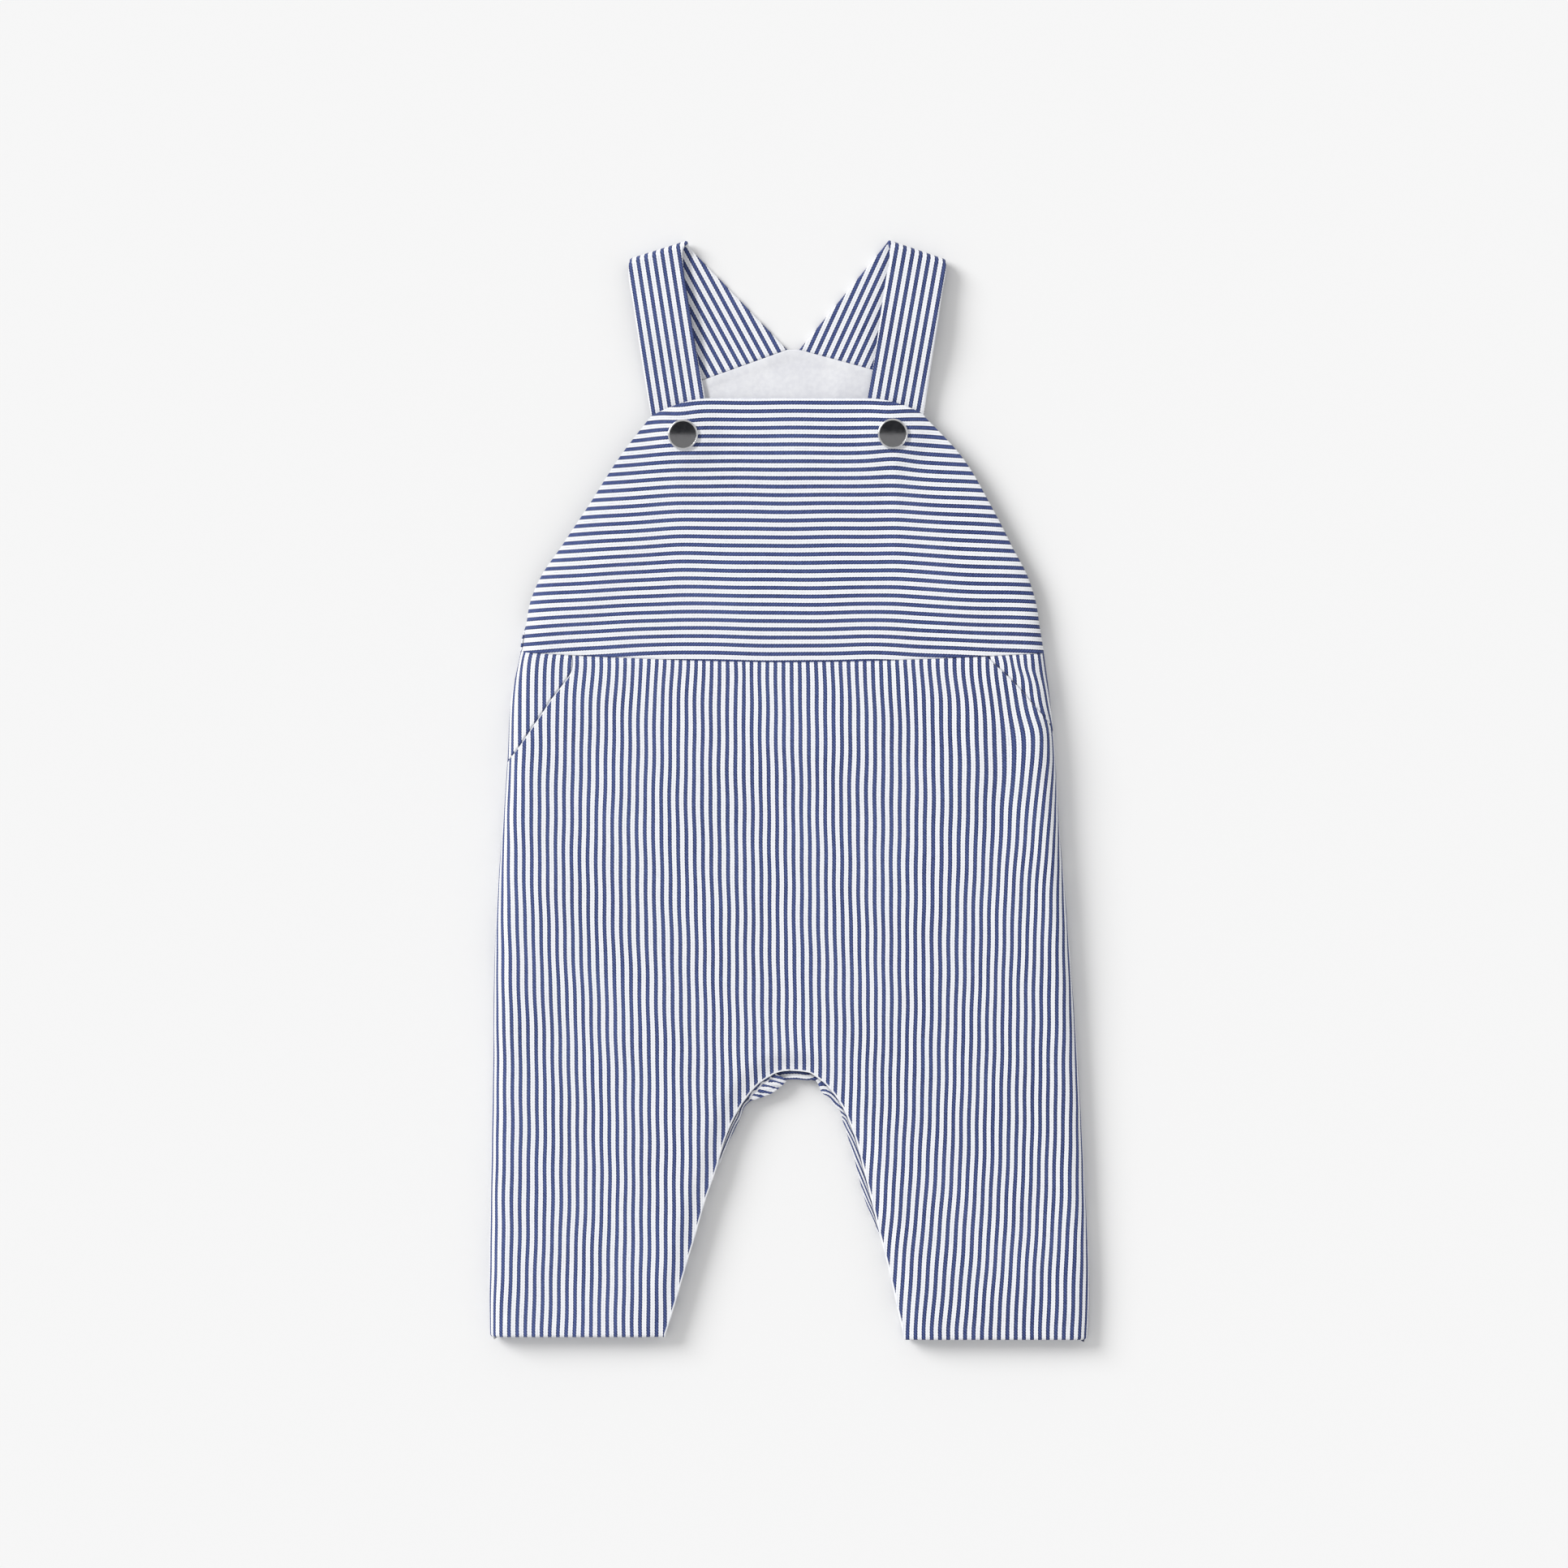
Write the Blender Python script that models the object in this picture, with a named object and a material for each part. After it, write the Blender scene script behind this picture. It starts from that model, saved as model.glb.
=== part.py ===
"""Baby's striped dungarees, laid on their back on a flat surface.

Millimetres in the tables, metres in the meshes.  +X is the viewer's right, +Y runs from
the hems to the shoulders and +Z is up, away from the surface that the back lies on.
Every cloth piece is a skin of rows and columns with a Solidify wall on its inner side.
"""

import math

import bmesh
import bpy
import numpy as np

MM = 0.001
GAP = 0.3                   # between neighbours at a seam

UP = (0.0, 0.0, 1.0)
DOWN = (0.0, 0.0, -1.0)

# Walls of the cloth
TWILL_WALL = 1.2            # one layer of twill
DOUBLE_WALL = 1.6           # the bib, turned and closed
STRAP_WALL = 2.0            # the straps, turned and closed
LINING_WALL = 1.0           # plain white cotton

# Heights above the surface
SEAM_HEIGHT = 4.5           # top of the back at the side seams
INSEAM_HEIGHT = 4.6         # front's outer skin at its inner leg edges
FRONT_CORNER = 9.0          # width over which the front rounds down to a side seam
BACK_CORNER = 5.0           # the same for the back, below the seam
CROTCH_CORNER = 13.0        # the same for the front at the crotch and inner legs

EDGE_COLUMN = 0.0015        # share of the half width, so that a rim's wall stands square

CENTRE_X = 0.2              # line of the crotch's top
CROTCH_Y = -138.4
HEM_Y = {"left": -269.8, "right": -271.2}
WAIST_Y = 63.0              # waist seam at the middle
WAIST_RISE = 4.8            # how much higher it is at the side seams
WAIST_HALF = 131.0
WAIST_SAG_POWER = 1.7       # how late the rise comes towards the sides
SIDE_WAIST_Y = WAIST_Y + WAIST_RISE
POCKET_ROWS_END = 10.0      # the rows are closer together down to here

# Rows of the trousers' skins: at the pockets, over the seat and down the legs
POCKET_ROWS = 9
SEAT_ROWS = 8
LEG_ROWS = 11
LEG_ROWS_POWER = 1.7        # rows close together at the crotch, wider apart below

# Side outline and top height of the trousers, a row for each level from waist to hem
TROUSER_LEVELS = (
    # y, left, right, loft
    (67.8, -132.6, 125.8, 11.5),
    (45.0, -137.2, 128.6, 13.0),
    (15.0, -139.0, 131.2, 14.0),
    (-14.6, -141.2, 133.0, 14.0),
    (-62.6, -144.6, 137.0, 14.0),
    (-138.6, -146.4, 142.6, 13.0),
    (-194.6, -147.4, 145.8, 11.5),
    (-257.0, -148.0, 148.0, 10.0),
    (-271.2, -147.6, 147.2, 9.5),
)

# Half widths of the opening between the legs, front edge and back edge
FRONT_CROTCH = (
    # depth, left, right
    (0.0, 0.0, 0.0),
    (5.0, 11.5, 15.0),
    (16.0, 21.5, 24.5),
    (34.0, 32.0, 33.2),
    (60.0, 40.2, 39.6),
    (126.4, 60.0, 55.2),
    (133.0, 62.2, 56.8),
)
PLACKET_WIDTH = 13.0        # of the strip round the crotch and inner legs
BACK_CROTCH_DROP = 4.4      # the back's crotch lies this much lower
BACK_CROTCH = (
    # depth, left, right
    (0.0, 0.0, 0.0),
    (0.8, 2.0, 11.0),
    (4.6, 6.0, 15.6),
    (7.2, 12.0, 18.6),
    (10.2, 19.4, 21.6),
    (18.0, 25.0, 26.0),
    (34.0, 34.5, 31.0),
    (56.0, 39.8, 37.2),
    (121.6, 60.2, 55.4),
    (128.6, 62.4, 57.0),
)

# Pocket mouths: how far in from the side seam the mouth lies, waist to lower end
POCKET_MOUTHS = (
    # y, left, right
    (68.0, 26.6, 27.8),
    (59.0, 26.2, 22.4),
    (45.0, 18.8, 15.4),
    (26.0, 8.6, 3.0),
    (14.0, 0.0, 0.0),
)
POCKET_END = {"left": 14.0, "right": 22.0}
POCKET_LAP = 11.0           # the hip piece runs on this far under the front
POCKET_LAP_END = 0.35       # share of the lap's easing already reached at the lower end
POCKET_LAP_GROWS = 12.0     # height over which the rest comes
POCKET_DIP = 3.0            # width over which it dips under the mouth
POCKET_SETBACK = 2.0        # it is wholly under by this far before the mouth's edge
POCKET_TUCK = 1.6           # its edge stays this far above the side seam where it is covered
POCKET_CLEARANCE = 0.9      # between it and the front's inner side

# Armhole outline of the bib, waist to shoulder
BIB_ARMHOLE = (
    # share of the height, y, left, right
    (0.00, 67.8, -132.6, 125.8),
    (0.10, 80.0, -130.4, 123.8),
    (0.22, 94.0, -127.6, 121.6),
    (0.33, 107.0, -122.0, 117.4),
    (0.45, 121.0, -112.6, 110.2),
    (0.60, 140.0, -99.6, 100.0),
    (0.80, 164.0, -84.0, 85.6),
    (1.00, 185.4, -67.4, 65.6),
)
BIB_TOP_Y = 193.2
BIB_TOP_FLAT = 40.0         # the top edge is straight to this far from the middle
BIB_TOP_HALF = 66.5         # from the middle to its corners
BIB_TOP_ROUND = 1.8         # power of its fall towards them
BIB_CORNER_GROWS = 16.0     # its sides round down over this much more width at the top
BIB_EDGE_RISES = 1.6        # how early its edge rises on to the straps
BIB_TOP_HEIGHT = 8.9        # skin of the bib at its top edge
BIB_EDGE_HEIGHT = 8.3       # skin at the top corners, lying on the straps
SNAP_RIDGE = 2.1            # the bib stands this much prouder over a snap
SNAP_RIDGE_REACH = 16.0

# Armhole outline of the upper back, waist to shoulder
BACK_ARMHOLE = (
    # share of the height, y, left, right
    (0.00, 67.8, -132.6, 125.8),
    (0.10, 80.0, -130.0, 122.0),
    (0.24, 98.0, -122.0, 115.0),
    (0.40, 120.0, -108.0, 103.0),
    (0.60, 147.0, -90.0, 87.0),
    (0.80, 173.0, -74.0, 72.0),
    (1.00, 197.0, -62.0, 60.0),
)
BACK_TURNED_UP = 0.3        # share of the height over which its edges turn up to the sides
LINING_INSET = 2.6          # of the lining inside that outline
LINING_WAIST_INSET = 3.0    # and this much more at the waist

# Straps, as they lie: the fold's two ends and the corners of both ends
STRAPS = {
    # end points of the outermost line of the fold, and the edges' other ends
    "left": {
        "fold_outer": (-79.4, 262.1), "fold_inner": (-53.0, 270.7),
        "front_outer": (-64.4, 163.4), "front_inner": (-36.8, 163.4),
        "seam_outer": (-61.6, 195.6), "seam_inner": (-0.9, 217.4),
        "snap": (-52.4, 175.2),
    },
    "right": {
        "fold_outer": (77.4, 261.8), "fold_inner": (49.0, 271.4),
        "front_outer": (62.8, 163.4), "front_inner": (34.4, 163.4),
        "seam_outer": (60.0, 202.4), "seam_inner": (4.9, 217.4),
        "snap": (51.0, 175.6),
    },
}
STRAP_FOLD_RADIUS = 2.75    # of the middle of the cloth
STRAP_LOW = 5.2             # middle of the cloth where it runs under the bib
STRAP_LEVEL_AFTER = 0.7     # share of the front run at which it reaches that height

# Folds of the cloth: ridges and dents of the front skin
FRONT_FOLDS = (
    # x, y, half length, half width, height, degrees from the X axis
    (117.0, 12.0, 26.0, 8.0, 0.9, 68.0),
    (104.0, -14.0, 30.0, 9.0, -0.9, 74.0),
    (92.0, 20.0, 30.0, 9.0, 0.6, 80.0),
    (-134.0, -44.0, 14.0, 8.0, -0.8, 100.0),
    (46.0, -150.0, 46.0, 12.0, 0.7, -38.0),
)

# Snaps
CAP_RADIUS = 7.4
SOCKET_RADIUS = 5.2
SOCKET_BORE = 2.9
STUD_FLANGE = 4.5
STUD_KNOB = 2.5
STUD_FLANGE_THICK = 0.6
SNAP_PARTS_HEIGHT = 2.4     # between the strap and the bib
KNOB_BELOW_TOP = 0.6        # the stud's knob ends this far below the socket's top
KNOB_ROUND = 0.4
ROUND_STEPS = 24

# Cap's section from its seat up: how far in from its radius, how high above the seat
CAP_SECTION = ((0.6, 0.0), (0.0, 0.6), (0.4, 1.5), (1.3, 1.9), (2.0, 1.5))
CAP_FACE = 1.35             # height of its slightly sunk face

COLOURS = {
    # red, green, blue, metallic, roughness
    "striped_twill": (0.42, 0.46, 0.62, 0.0, 0.85),
    "white_lining": (0.80, 0.81, 0.84, 0.0, 0.9),
    "nickel": (0.55, 0.55, 0.56, 1.0, 0.22),
}


def smooth_table(rows, column, at):
    """Value of a table's column at given places of its first column, eased between rows."""
    table = np.array(rows, float)
    order = np.argsort(table[:, 0])
    place = table[order, 0]
    value = table[order, column]
    slope = np.gradient(value, place)
    at = np.clip(np.asarray(at, float), place[0], place[-1])
    span = np.clip(np.searchsorted(place, at) - 1, 0, len(place) - 2)
    width = place[span + 1] - place[span]
    t = (at - place[span]) / width
    start = (1 + 2 * t) * (1 - t) ** 2 * value[span] + t * (1 - t) ** 2 * width * slope[span]
    end = t * t * (3 - 2 * t) * value[span + 1] - t * t * (1 - t) * width * slope[span + 1]
    return start + end


def eased(share):
    """0 to 1 with level ends."""
    share = np.clip(share, 0.0, 1.0)
    return share * share * (3 - 2 * share)


def corner(run, width):
    """Plan distance and height share at a run of cloth from a rounded edge."""
    angle = np.minimum(run / width, math.pi / 2)
    past = np.maximum(run - width * math.pi / 2, 0.0)
    return width * (1 - np.cos(angle)) + past, np.sin(angle)


def run_of(plan, width):
    """Run of cloth from a rounded edge that covers a plan distance."""
    angle = np.arccos(np.clip(1 - plan / width, 0.0, 1.0))
    return width * angle + np.maximum(plan - width, 0.0)


def from_edge(columns, power):
    """Shares of the way in from an edge: a first narrow column, then wider and wider."""
    return np.concatenate([[0.0, EDGE_COLUMN], np.linspace(0.0, 1.0, columns)[1:] ** power])


def waist_line(x):
    """Waist seam, which sags towards the middle."""
    return WAIST_Y + WAIST_RISE * np.abs(x / WAIST_HALF) ** WAIST_SAG_POWER


def crotch_edge(rows, drop, y, side):
    """X of the opening between the legs at a level; the middle line above it."""
    depth = np.maximum(CROTCH_Y - drop - y, 0.0)
    roots = [(math.sqrt(row[0]), row[1], row[2]) for row in rows]
    half = smooth_table(roots, 1 if side == "left" else 2, np.sqrt(depth))
    return CENTRE_X + (-half if side == "left" else half)


def crotch_distance(x, y):
    """Plan distance to the front's edge at the crotch and inner legs."""
    depth = np.linspace(0.0, math.sqrt(FRONT_CROTCH[-1][0]), 60) ** 2
    level = CROTCH_Y - depth
    edge = [(crotch_edge(FRONT_CROTCH, 0.0, level, side), level) for side in ("left", "right")]
    edge_x = np.concatenate([run[0] for run in edge])
    edge_y = np.concatenate([run[1] for run in edge])
    apart = np.hypot(x[..., None] - edge_x, y[..., None] - edge_y)
    return apart.min(axis=-1)


def folds(x, y):
    """Sum of the soft ridges and dents of the front."""
    height = np.zeros_like(x)
    for fold_x, fold_y, length, width, rise, degrees in FRONT_FOLDS:
        turn = math.radians(degrees)
        along = (x - fold_x) * math.cos(turn) + (y - fold_y) * math.sin(turn)
        across = (y - fold_y) * math.cos(turn) - (x - fold_x) * math.sin(turn)
        height += rise * np.exp(-(along / length) ** 2 - (across / width) ** 2)
    return height


def normals(points):
    """Unit normals of a skin of rows and columns."""
    down = np.gradient(points, axis=0)
    across = np.gradient(points, axis=1)
    out = np.cross(across, down)
    return out / np.linalg.norm(out, axis=-1, keepdims=True)


def material(slot):
    """Principled material with a slot's colour."""
    made = bpy.data.materials.get(slot)
    if made is None:
        red, green, blue, metallic, roughness = COLOURS[slot]
        made = bpy.data.materials.new(slot)
        made.use_nodes = True
        shader = made.node_tree.nodes["Principled BSDF"]
        shader.inputs["Base Color"].default_value = (red, green, blue, 1.0)
        shader.inputs["Metallic"].default_value = metallic
        shader.inputs["Roughness"].default_value = roughness
    return made


def add_object(name, mesh, slot):
    """New object with its material, in the scene."""
    mesh.materials.append(material(slot))
    made = bpy.data.objects.new(name, mesh)
    bpy.context.scene.collection.objects.link(made)
    return made


def cloth(name, skins, wall, slot, facing, middle=False):
    """Closed cloth from skins of rows and columns that share their touching points.

    facing is the direction that the skin's outer side mostly looks in; the wall goes to
    the other side, or half to each side where the skin is the cloth's middle.
    """
    form = bmesh.new()
    for points in skins:
        rows, columns = points.shape[:2]
        grid = [[form.verts.new(points[i, j] * MM) for j in range(columns)] for i in range(rows)]
        for above, below in zip(grid, grid[1:]):
            for j in range(columns - 1):
                form.faces.new((above[j], above[j + 1], below[j + 1], below[j]))
    bmesh.ops.remove_doubles(form, verts=form.verts, dist=0.01 * MM)
    bmesh.ops.recalc_face_normals(form, faces=form.faces)
    form.normal_update()
    if sum(face.normal.dot(facing) * face.calc_area() for face in form.faces) < 0:
        bmesh.ops.reverse_faces(form, faces=form.faces)
    mesh = bpy.data.meshes.new(name)
    form.to_mesh(mesh)
    form.free()
    mesh.shade_smooth()
    made = add_object(name, mesh, slot)
    thickness = made.modifiers.new("wall", "SOLIDIFY")
    thickness.thickness = wall * MM
    thickness.offset = 0.0 if middle else -1.0
    return made


def trouser_levels(crotch_y, side):
    """Levels of the trousers' rows, close together at the pockets and at the crotch."""
    pocket = np.linspace(SIDE_WAIST_Y, POCKET_ROWS_END, POCKET_ROWS)
    seat = np.linspace(POCKET_ROWS_END, crotch_y, SEAT_ROWS)[1:]
    share = np.linspace(0.0, 1.0, LEG_ROWS)[1:] ** LEG_ROWS_POWER
    legs = crotch_y + (HEM_Y[side] - crotch_y) * share
    return np.concatenate([pocket, seat, legs])


def side_x(y, side):
    """Outline of the trousers at a level."""
    return smooth_table(TROUSER_LEVELS, 1 if side == "left" else 2, y)


def loft(y):
    """Height of the trousers' top at a level."""
    return smooth_table(TROUSER_LEVELS, 3, y)


def mouth_run(y, side):
    """Run of cloth from the side seam to the pocket mouth, 0 below it."""
    plan = smooth_table(POCKET_MOUTHS, 1 if side == "left" else 2, y)
    plan = np.where(y < POCKET_END[side], 0.0, np.maximum(plan, 0.0))
    return run_of(plan, FRONT_CORNER)


def inward(level, plan, side):
    """X at plan distances inward from the side outline at a level."""
    return side_x(level, side) + plan * (1.0 if side == "left" else -1.0)


def front_skin(run, x, y):
    """Outer skin of the trousers' front at plan places with their runs from the side seam."""
    _, rise = corner(run, FRONT_CORNER)
    seam = SEAM_HEIGHT + GAP
    top = loft(y)
    near = np.minimum(crotch_distance(x, y) / CROTCH_CORNER, 1.0)
    height = seam + (top - seam) * rise - (top - INSEAM_HEIGHT) * (1 - np.sin(near * math.pi / 2))
    height += folds(x, y) * rise
    return np.stack([x, y, height], axis=-1)


def sagged(level, x):
    """Y of a level at a place across: it follows the waist seam's sag, less further down."""
    share = np.clip((level - CROTCH_Y) / (SIDE_WAIST_Y - CROTCH_Y), 0.0, 1.0)
    return level + (waist_line(x) - GAP / 2 - SIDE_WAIST_Y) * share


def front_half(side):
    """Half of the trousers' front, side seam or pocket mouth to the middle line or inner leg."""
    level = trouser_levels(CROTCH_Y, side)
    start = mouth_run(level, side)
    inner = np.abs(crotch_edge(FRONT_CROTCH, 0.0, level, side) - side_x(level, side))
    end = run_of(inner, FRONT_CORNER)
    spread = from_edge(11, 1.8)
    run = start[:, None] + (end - start)[:, None] * spread
    plan, _ = corner(run, FRONT_CORNER)
    x = inward(level[:, None], plan, side)
    return front_skin(run, x, sagged(level[:, None], x))


def build_trouser_front():
    """Front of the trousers, both legs in one piece, cut away at the pocket mouths."""
    cloth("trouser_front", [front_half("left"), front_half("right")], TWILL_WALL, "striped_twill", UP)


def build_hips():
    """Side pieces behind the pocket mouths, which run on under the front."""
    for side in ("left", "right"):
        level = np.linspace(SIDE_WAIST_Y, POCKET_ROWS_END, POCKET_ROWS)
        mouth = mouth_run(level, side)
        end = mouth + POCKET_LAP * eased((level - level[-1]) / POCKET_LAP_GROWS + POCKET_LAP_END)
        start = POCKET_TUCK * eased(1 - mouth / POCKET_DIP)
        dip = np.maximum(mouth - POCKET_DIP - POCKET_SETBACK, start)
        under = np.maximum(mouth - POCKET_SETBACK, dip + 0.5)
        run = np.column_stack(
            [start, start + 0.1] + [start + (dip - start) * share for share in (0.25, 0.5, 0.75, 1.0)]
            + [dip + (under - dip) * share for share in (0.35, 0.7, 1.0)]
            + [under + (end - under) * share for share in (0.35, 0.7, 1.0)])
        run = np.maximum.accumulate(run, axis=1) + 0.02 * np.arange(run.shape[1])
        plan, _ = corner(run, FRONT_CORNER)
        x = inward(level[:, None], plan, side)
        skin = front_skin(run, x, sagged(level[:, None], x) - GAP)
        below_front = eased((run - mouth[:, None] + POCKET_DIP + POCKET_SETBACK) / POCKET_DIP)
        outward = normals(skin)
        outward *= np.sign(outward[..., 2:3].sum())
        clearance = POCKET_CLEARANCE * (1 + eased(1 - mouth[:, None] / POCKET_LAP))
        skin = skin - outward * ((TWILL_WALL + clearance) * below_front)[..., None]
        cloth("hip_" + side, [skin], TWILL_WALL, "striped_twill", UP)


def build_trouser_back():
    """Back of the trousers, both legs in one piece, flat on the surface."""
    halves = []
    crotch_y = CROTCH_Y - BACK_CROTCH_DROP
    for side in ("left", "right"):
        level = trouser_levels(crotch_y, side)
        inner = np.abs(crotch_edge(BACK_CROTCH, BACK_CROTCH_DROP, level, side) - side_x(level, side))
        spread = from_edge(9, 2.0)
        run = run_of(inner, BACK_CORNER)[:, None] * spread
        plan, rise = corner(run, BACK_CORNER)
        x = inward(level[:, None], plan, side)
        halves.append(np.stack([x, sagged(level[:, None], x), SEAM_HEIGHT * (1 - rise)], axis=-1))
    cloth("trouser_back", halves, TWILL_WALL, "striped_twill", DOWN)


def build_inseam_placket():
    """Strip round the crotch and both inner legs, on the back and under the front."""
    depth = np.linspace(0.0, math.sqrt(BACK_CROTCH[-1][0]), 16) ** 2
    level = CROTCH_Y - BACK_CROTCH_DROP - depth
    left = np.stack([crotch_edge(BACK_CROTCH, BACK_CROTCH_DROP, level, "left"), level], axis=-1)
    right = np.stack([crotch_edge(BACK_CROTCH, BACK_CROTCH_DROP, level, "right"), level], axis=-1)
    edge = np.concatenate([left[::-1], right[1:]])
    # The inner edge of the strip follows a calmer line, so it never crosses itself
    calm = edge.copy()
    for _ in range(6):
        calm[1:-1] = (calm[:-2] + 2 * calm[1:-1] + calm[2:]) / 4
    along = np.gradient(calm, axis=0)
    along /= np.linalg.norm(along, axis=1, keepdims=True)
    outward = np.stack([-along[:, 1], along[:, 0]], axis=-1)
    inner = calm + outward * PLACKET_WIDTH
    edge[0, 1] = inner[0, 1] = HEM_Y["left"]
    edge[-1, 1] = inner[-1, 1] = HEM_Y["right"]
    across = np.linspace(0.0, 1.0, 3)[None, :, None]
    plan = edge[:, None, :] * (1 - across) + inner[:, None, :] * across
    height = np.full(plan.shape[:2] + (1,), TWILL_WALL + GAP + TWILL_WALL)
    cloth("inseam_placket", [np.concatenate([plan, height], axis=-1)], TWILL_WALL, "striped_twill", UP)


def armhole_skin(armhole, top_line, corner_width, edge_height, top_height, rows, spread):
    """Skin between the waist seam, two armholes and a top edge.

    armhole is a table of outline points, top_line gives the top edge's y for an x, and
    the heights and the corner's width are functions of the share of the way up.
    """
    share = np.linspace(0.0, 1.0, rows)
    y_side = smooth_table(armhole, 1, share)
    left = smooth_table(armhole, 2, share)
    right = smooth_table(armhole, 3, share)
    half_run = run_of((right - left) / 2, corner_width(share))
    plan, rise = corner(half_run[:, None] * spread, corner_width(share)[:, None])
    x = np.concatenate([left[:, None] + plan, (right[:, None] - plan)[:, -2::-1]], axis=1)
    rise = np.concatenate([rise, rise[:, -2::-1]], axis=1)
    lift = eased(share)[:, None]
    y = y_side[:, None] + (waist_line(x) + GAP / 2 - y_side[0]) * (1 - share[:, None]) ** 1.5
    y += (top_line(x) - y_side[-1]) * lift ** 2.5
    z = edge_height(share)[:, None] + (top_height(share) - edge_height(share))[:, None] * rise
    return np.stack([x, y, z], axis=-1)


def bib_top_line(x):
    """Top edge of the bib: straight, rounding down to the corners."""
    past = np.clip((np.abs(x) - BIB_TOP_FLAT) / (BIB_TOP_HALF - BIB_TOP_FLAT), 0.0, 1.0)
    corner_y = BIB_ARMHOLE[-1][1]
    return BIB_TOP_Y - (BIB_TOP_Y - corner_y) * past ** BIB_TOP_ROUND


def snap_ridges(x, y):
    """Swell of the bib over its two snaps."""
    height = np.zeros_like(x)
    for strap in STRAPS.values():
        away = np.hypot(x - strap["snap"][0], y - strap["snap"][1])
        height += SNAP_RIDGE * np.exp(-((away / SNAP_RIDGE_REACH) ** 4))
    return height


def build_bib_front():
    """Bib, from the waist seam up to its top edge, lying on the strap ends."""
    low = SEAM_HEIGHT + GAP
    high = loft(SIDE_WAIST_Y)
    skin = armhole_skin(
        BIB_ARMHOLE, bib_top_line,
        lambda share: FRONT_CORNER + BIB_CORNER_GROWS * share,
        lambda share: low + (BIB_EDGE_HEIGHT - low) * eased(share * BIB_EDGE_RISES),
        lambda share: high + (BIB_TOP_HEIGHT - high) * eased(share),
        rows=17, spread=from_edge(12, 1.7))
    skin[..., 2] += snap_ridges(skin[..., 0], skin[..., 1])
    cloth("bib_front", [skin], DOUBLE_WALL, "striped_twill", UP)


def back_top_line(x):
    """Top edge of the back: the two straps' seams, and level between them."""
    line = np.full_like(x, STRAPS["left"]["seam_inner"][1])
    for strap in STRAPS.values():
        (outer_x, outer_y), (inner_x, inner_y) = strap["seam_outer"], strap["seam_inner"]
        seam = inner_y + (x - inner_x) * (inner_y - outer_y) / (inner_x - outer_x)
        line = np.minimum(line, seam)
    return line


def build_back_upper():
    """Upper back, on the surface, turning up to the side seams near the waist."""
    skin = armhole_skin(
        BACK_ARMHOLE, back_top_line,
        lambda share: np.full_like(share, BACK_CORNER),
        lambda share: SEAM_HEIGHT * (1 - eased(share / BACK_TURNED_UP)),
        lambda share: np.zeros_like(share),
        rows=13, spread=from_edge(9, 2.0))
    cloth("back_upper", [skin], TWILL_WALL, "striped_twill", DOWN)


def build_back_lining():
    """White lining over the upper back, from the straps' seams down to the waist."""
    outline = []
    for share, y, left, right in BACK_ARMHOLE:
        inset = LINING_INSET + LINING_WAIST_INSET * (1 - share)
        outline.append((share, y, left + inset, right - inset))
    height = TWILL_WALL + GAP + LINING_WALL
    skin = armhole_skin(
        outline, back_top_line,
        lambda share: np.full_like(share, BACK_CORNER),
        lambda share: np.full_like(share, height),
        lambda share: np.full_like(share, height),
        rows=9, spread=np.linspace(0.0, 1.0, 6))
    cloth("back_lining", [skin], LINING_WALL, "white_lining", UP)


def strap_path(strap):
    """Middle surface of a strap: rows from the back seam over the fold to the front end."""
    outer = np.array(strap["fold_outer"])
    inner = np.array(strap["fold_inner"])
    along = (inner - outer) / np.linalg.norm(inner - outer)
    away = np.array([-along[1], along[0]])
    away *= np.sign(away[1])
    reach = STRAP_FOLD_RADIUS + STRAP_WALL / 2
    across = np.linspace(0.0, 1.0, 6)[:, None]

    def line(start, end):
        return np.array(start) * (1 - across) + np.array(end) * across

    fold = line(outer, inner) - away * reach
    seam = line(strap["seam_outer"], strap["seam_inner"])
    seam = seam + (fold - seam) * (GAP / np.linalg.norm(fold - seam, axis=1, keepdims=True))
    front = line(strap["front_outer"], strap["front_inner"])
    low = STRAP_WALL / 2
    high = low + 2 * STRAP_FOLD_RADIUS
    rows = []
    for share in np.linspace(0.0, 1.0, 7)[:-1]:
        plan = seam + (fold - seam) * share
        rows.append(np.column_stack([plan, np.full(len(plan), low)]))
    for turn in np.linspace(0.0, math.pi, 7):
        plan = fold + away * (STRAP_FOLD_RADIUS * math.sin(turn))
        height = low + STRAP_FOLD_RADIUS * (1 - math.cos(turn))
        rows.append(np.column_stack([plan, np.full(len(plan), height)]))
    for share in np.linspace(0.0, 1.0, 10)[1:]:
        plan = fold + (front - fold) * share
        drop = (high - STRAP_LOW) * float(eased(share / STRAP_LEVEL_AFTER))
        rows.append(np.column_stack([plan, np.full(len(plan), high - drop)]))
    return np.array(rows)


def build_straps():
    """Both straps, folded over at the shoulders, with their ends under the bib."""
    for side, strap in STRAPS.items():
        cloth("strap_" + side, [strap_path(strap)], STRAP_WALL, "striped_twill", UP, middle=True)


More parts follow.
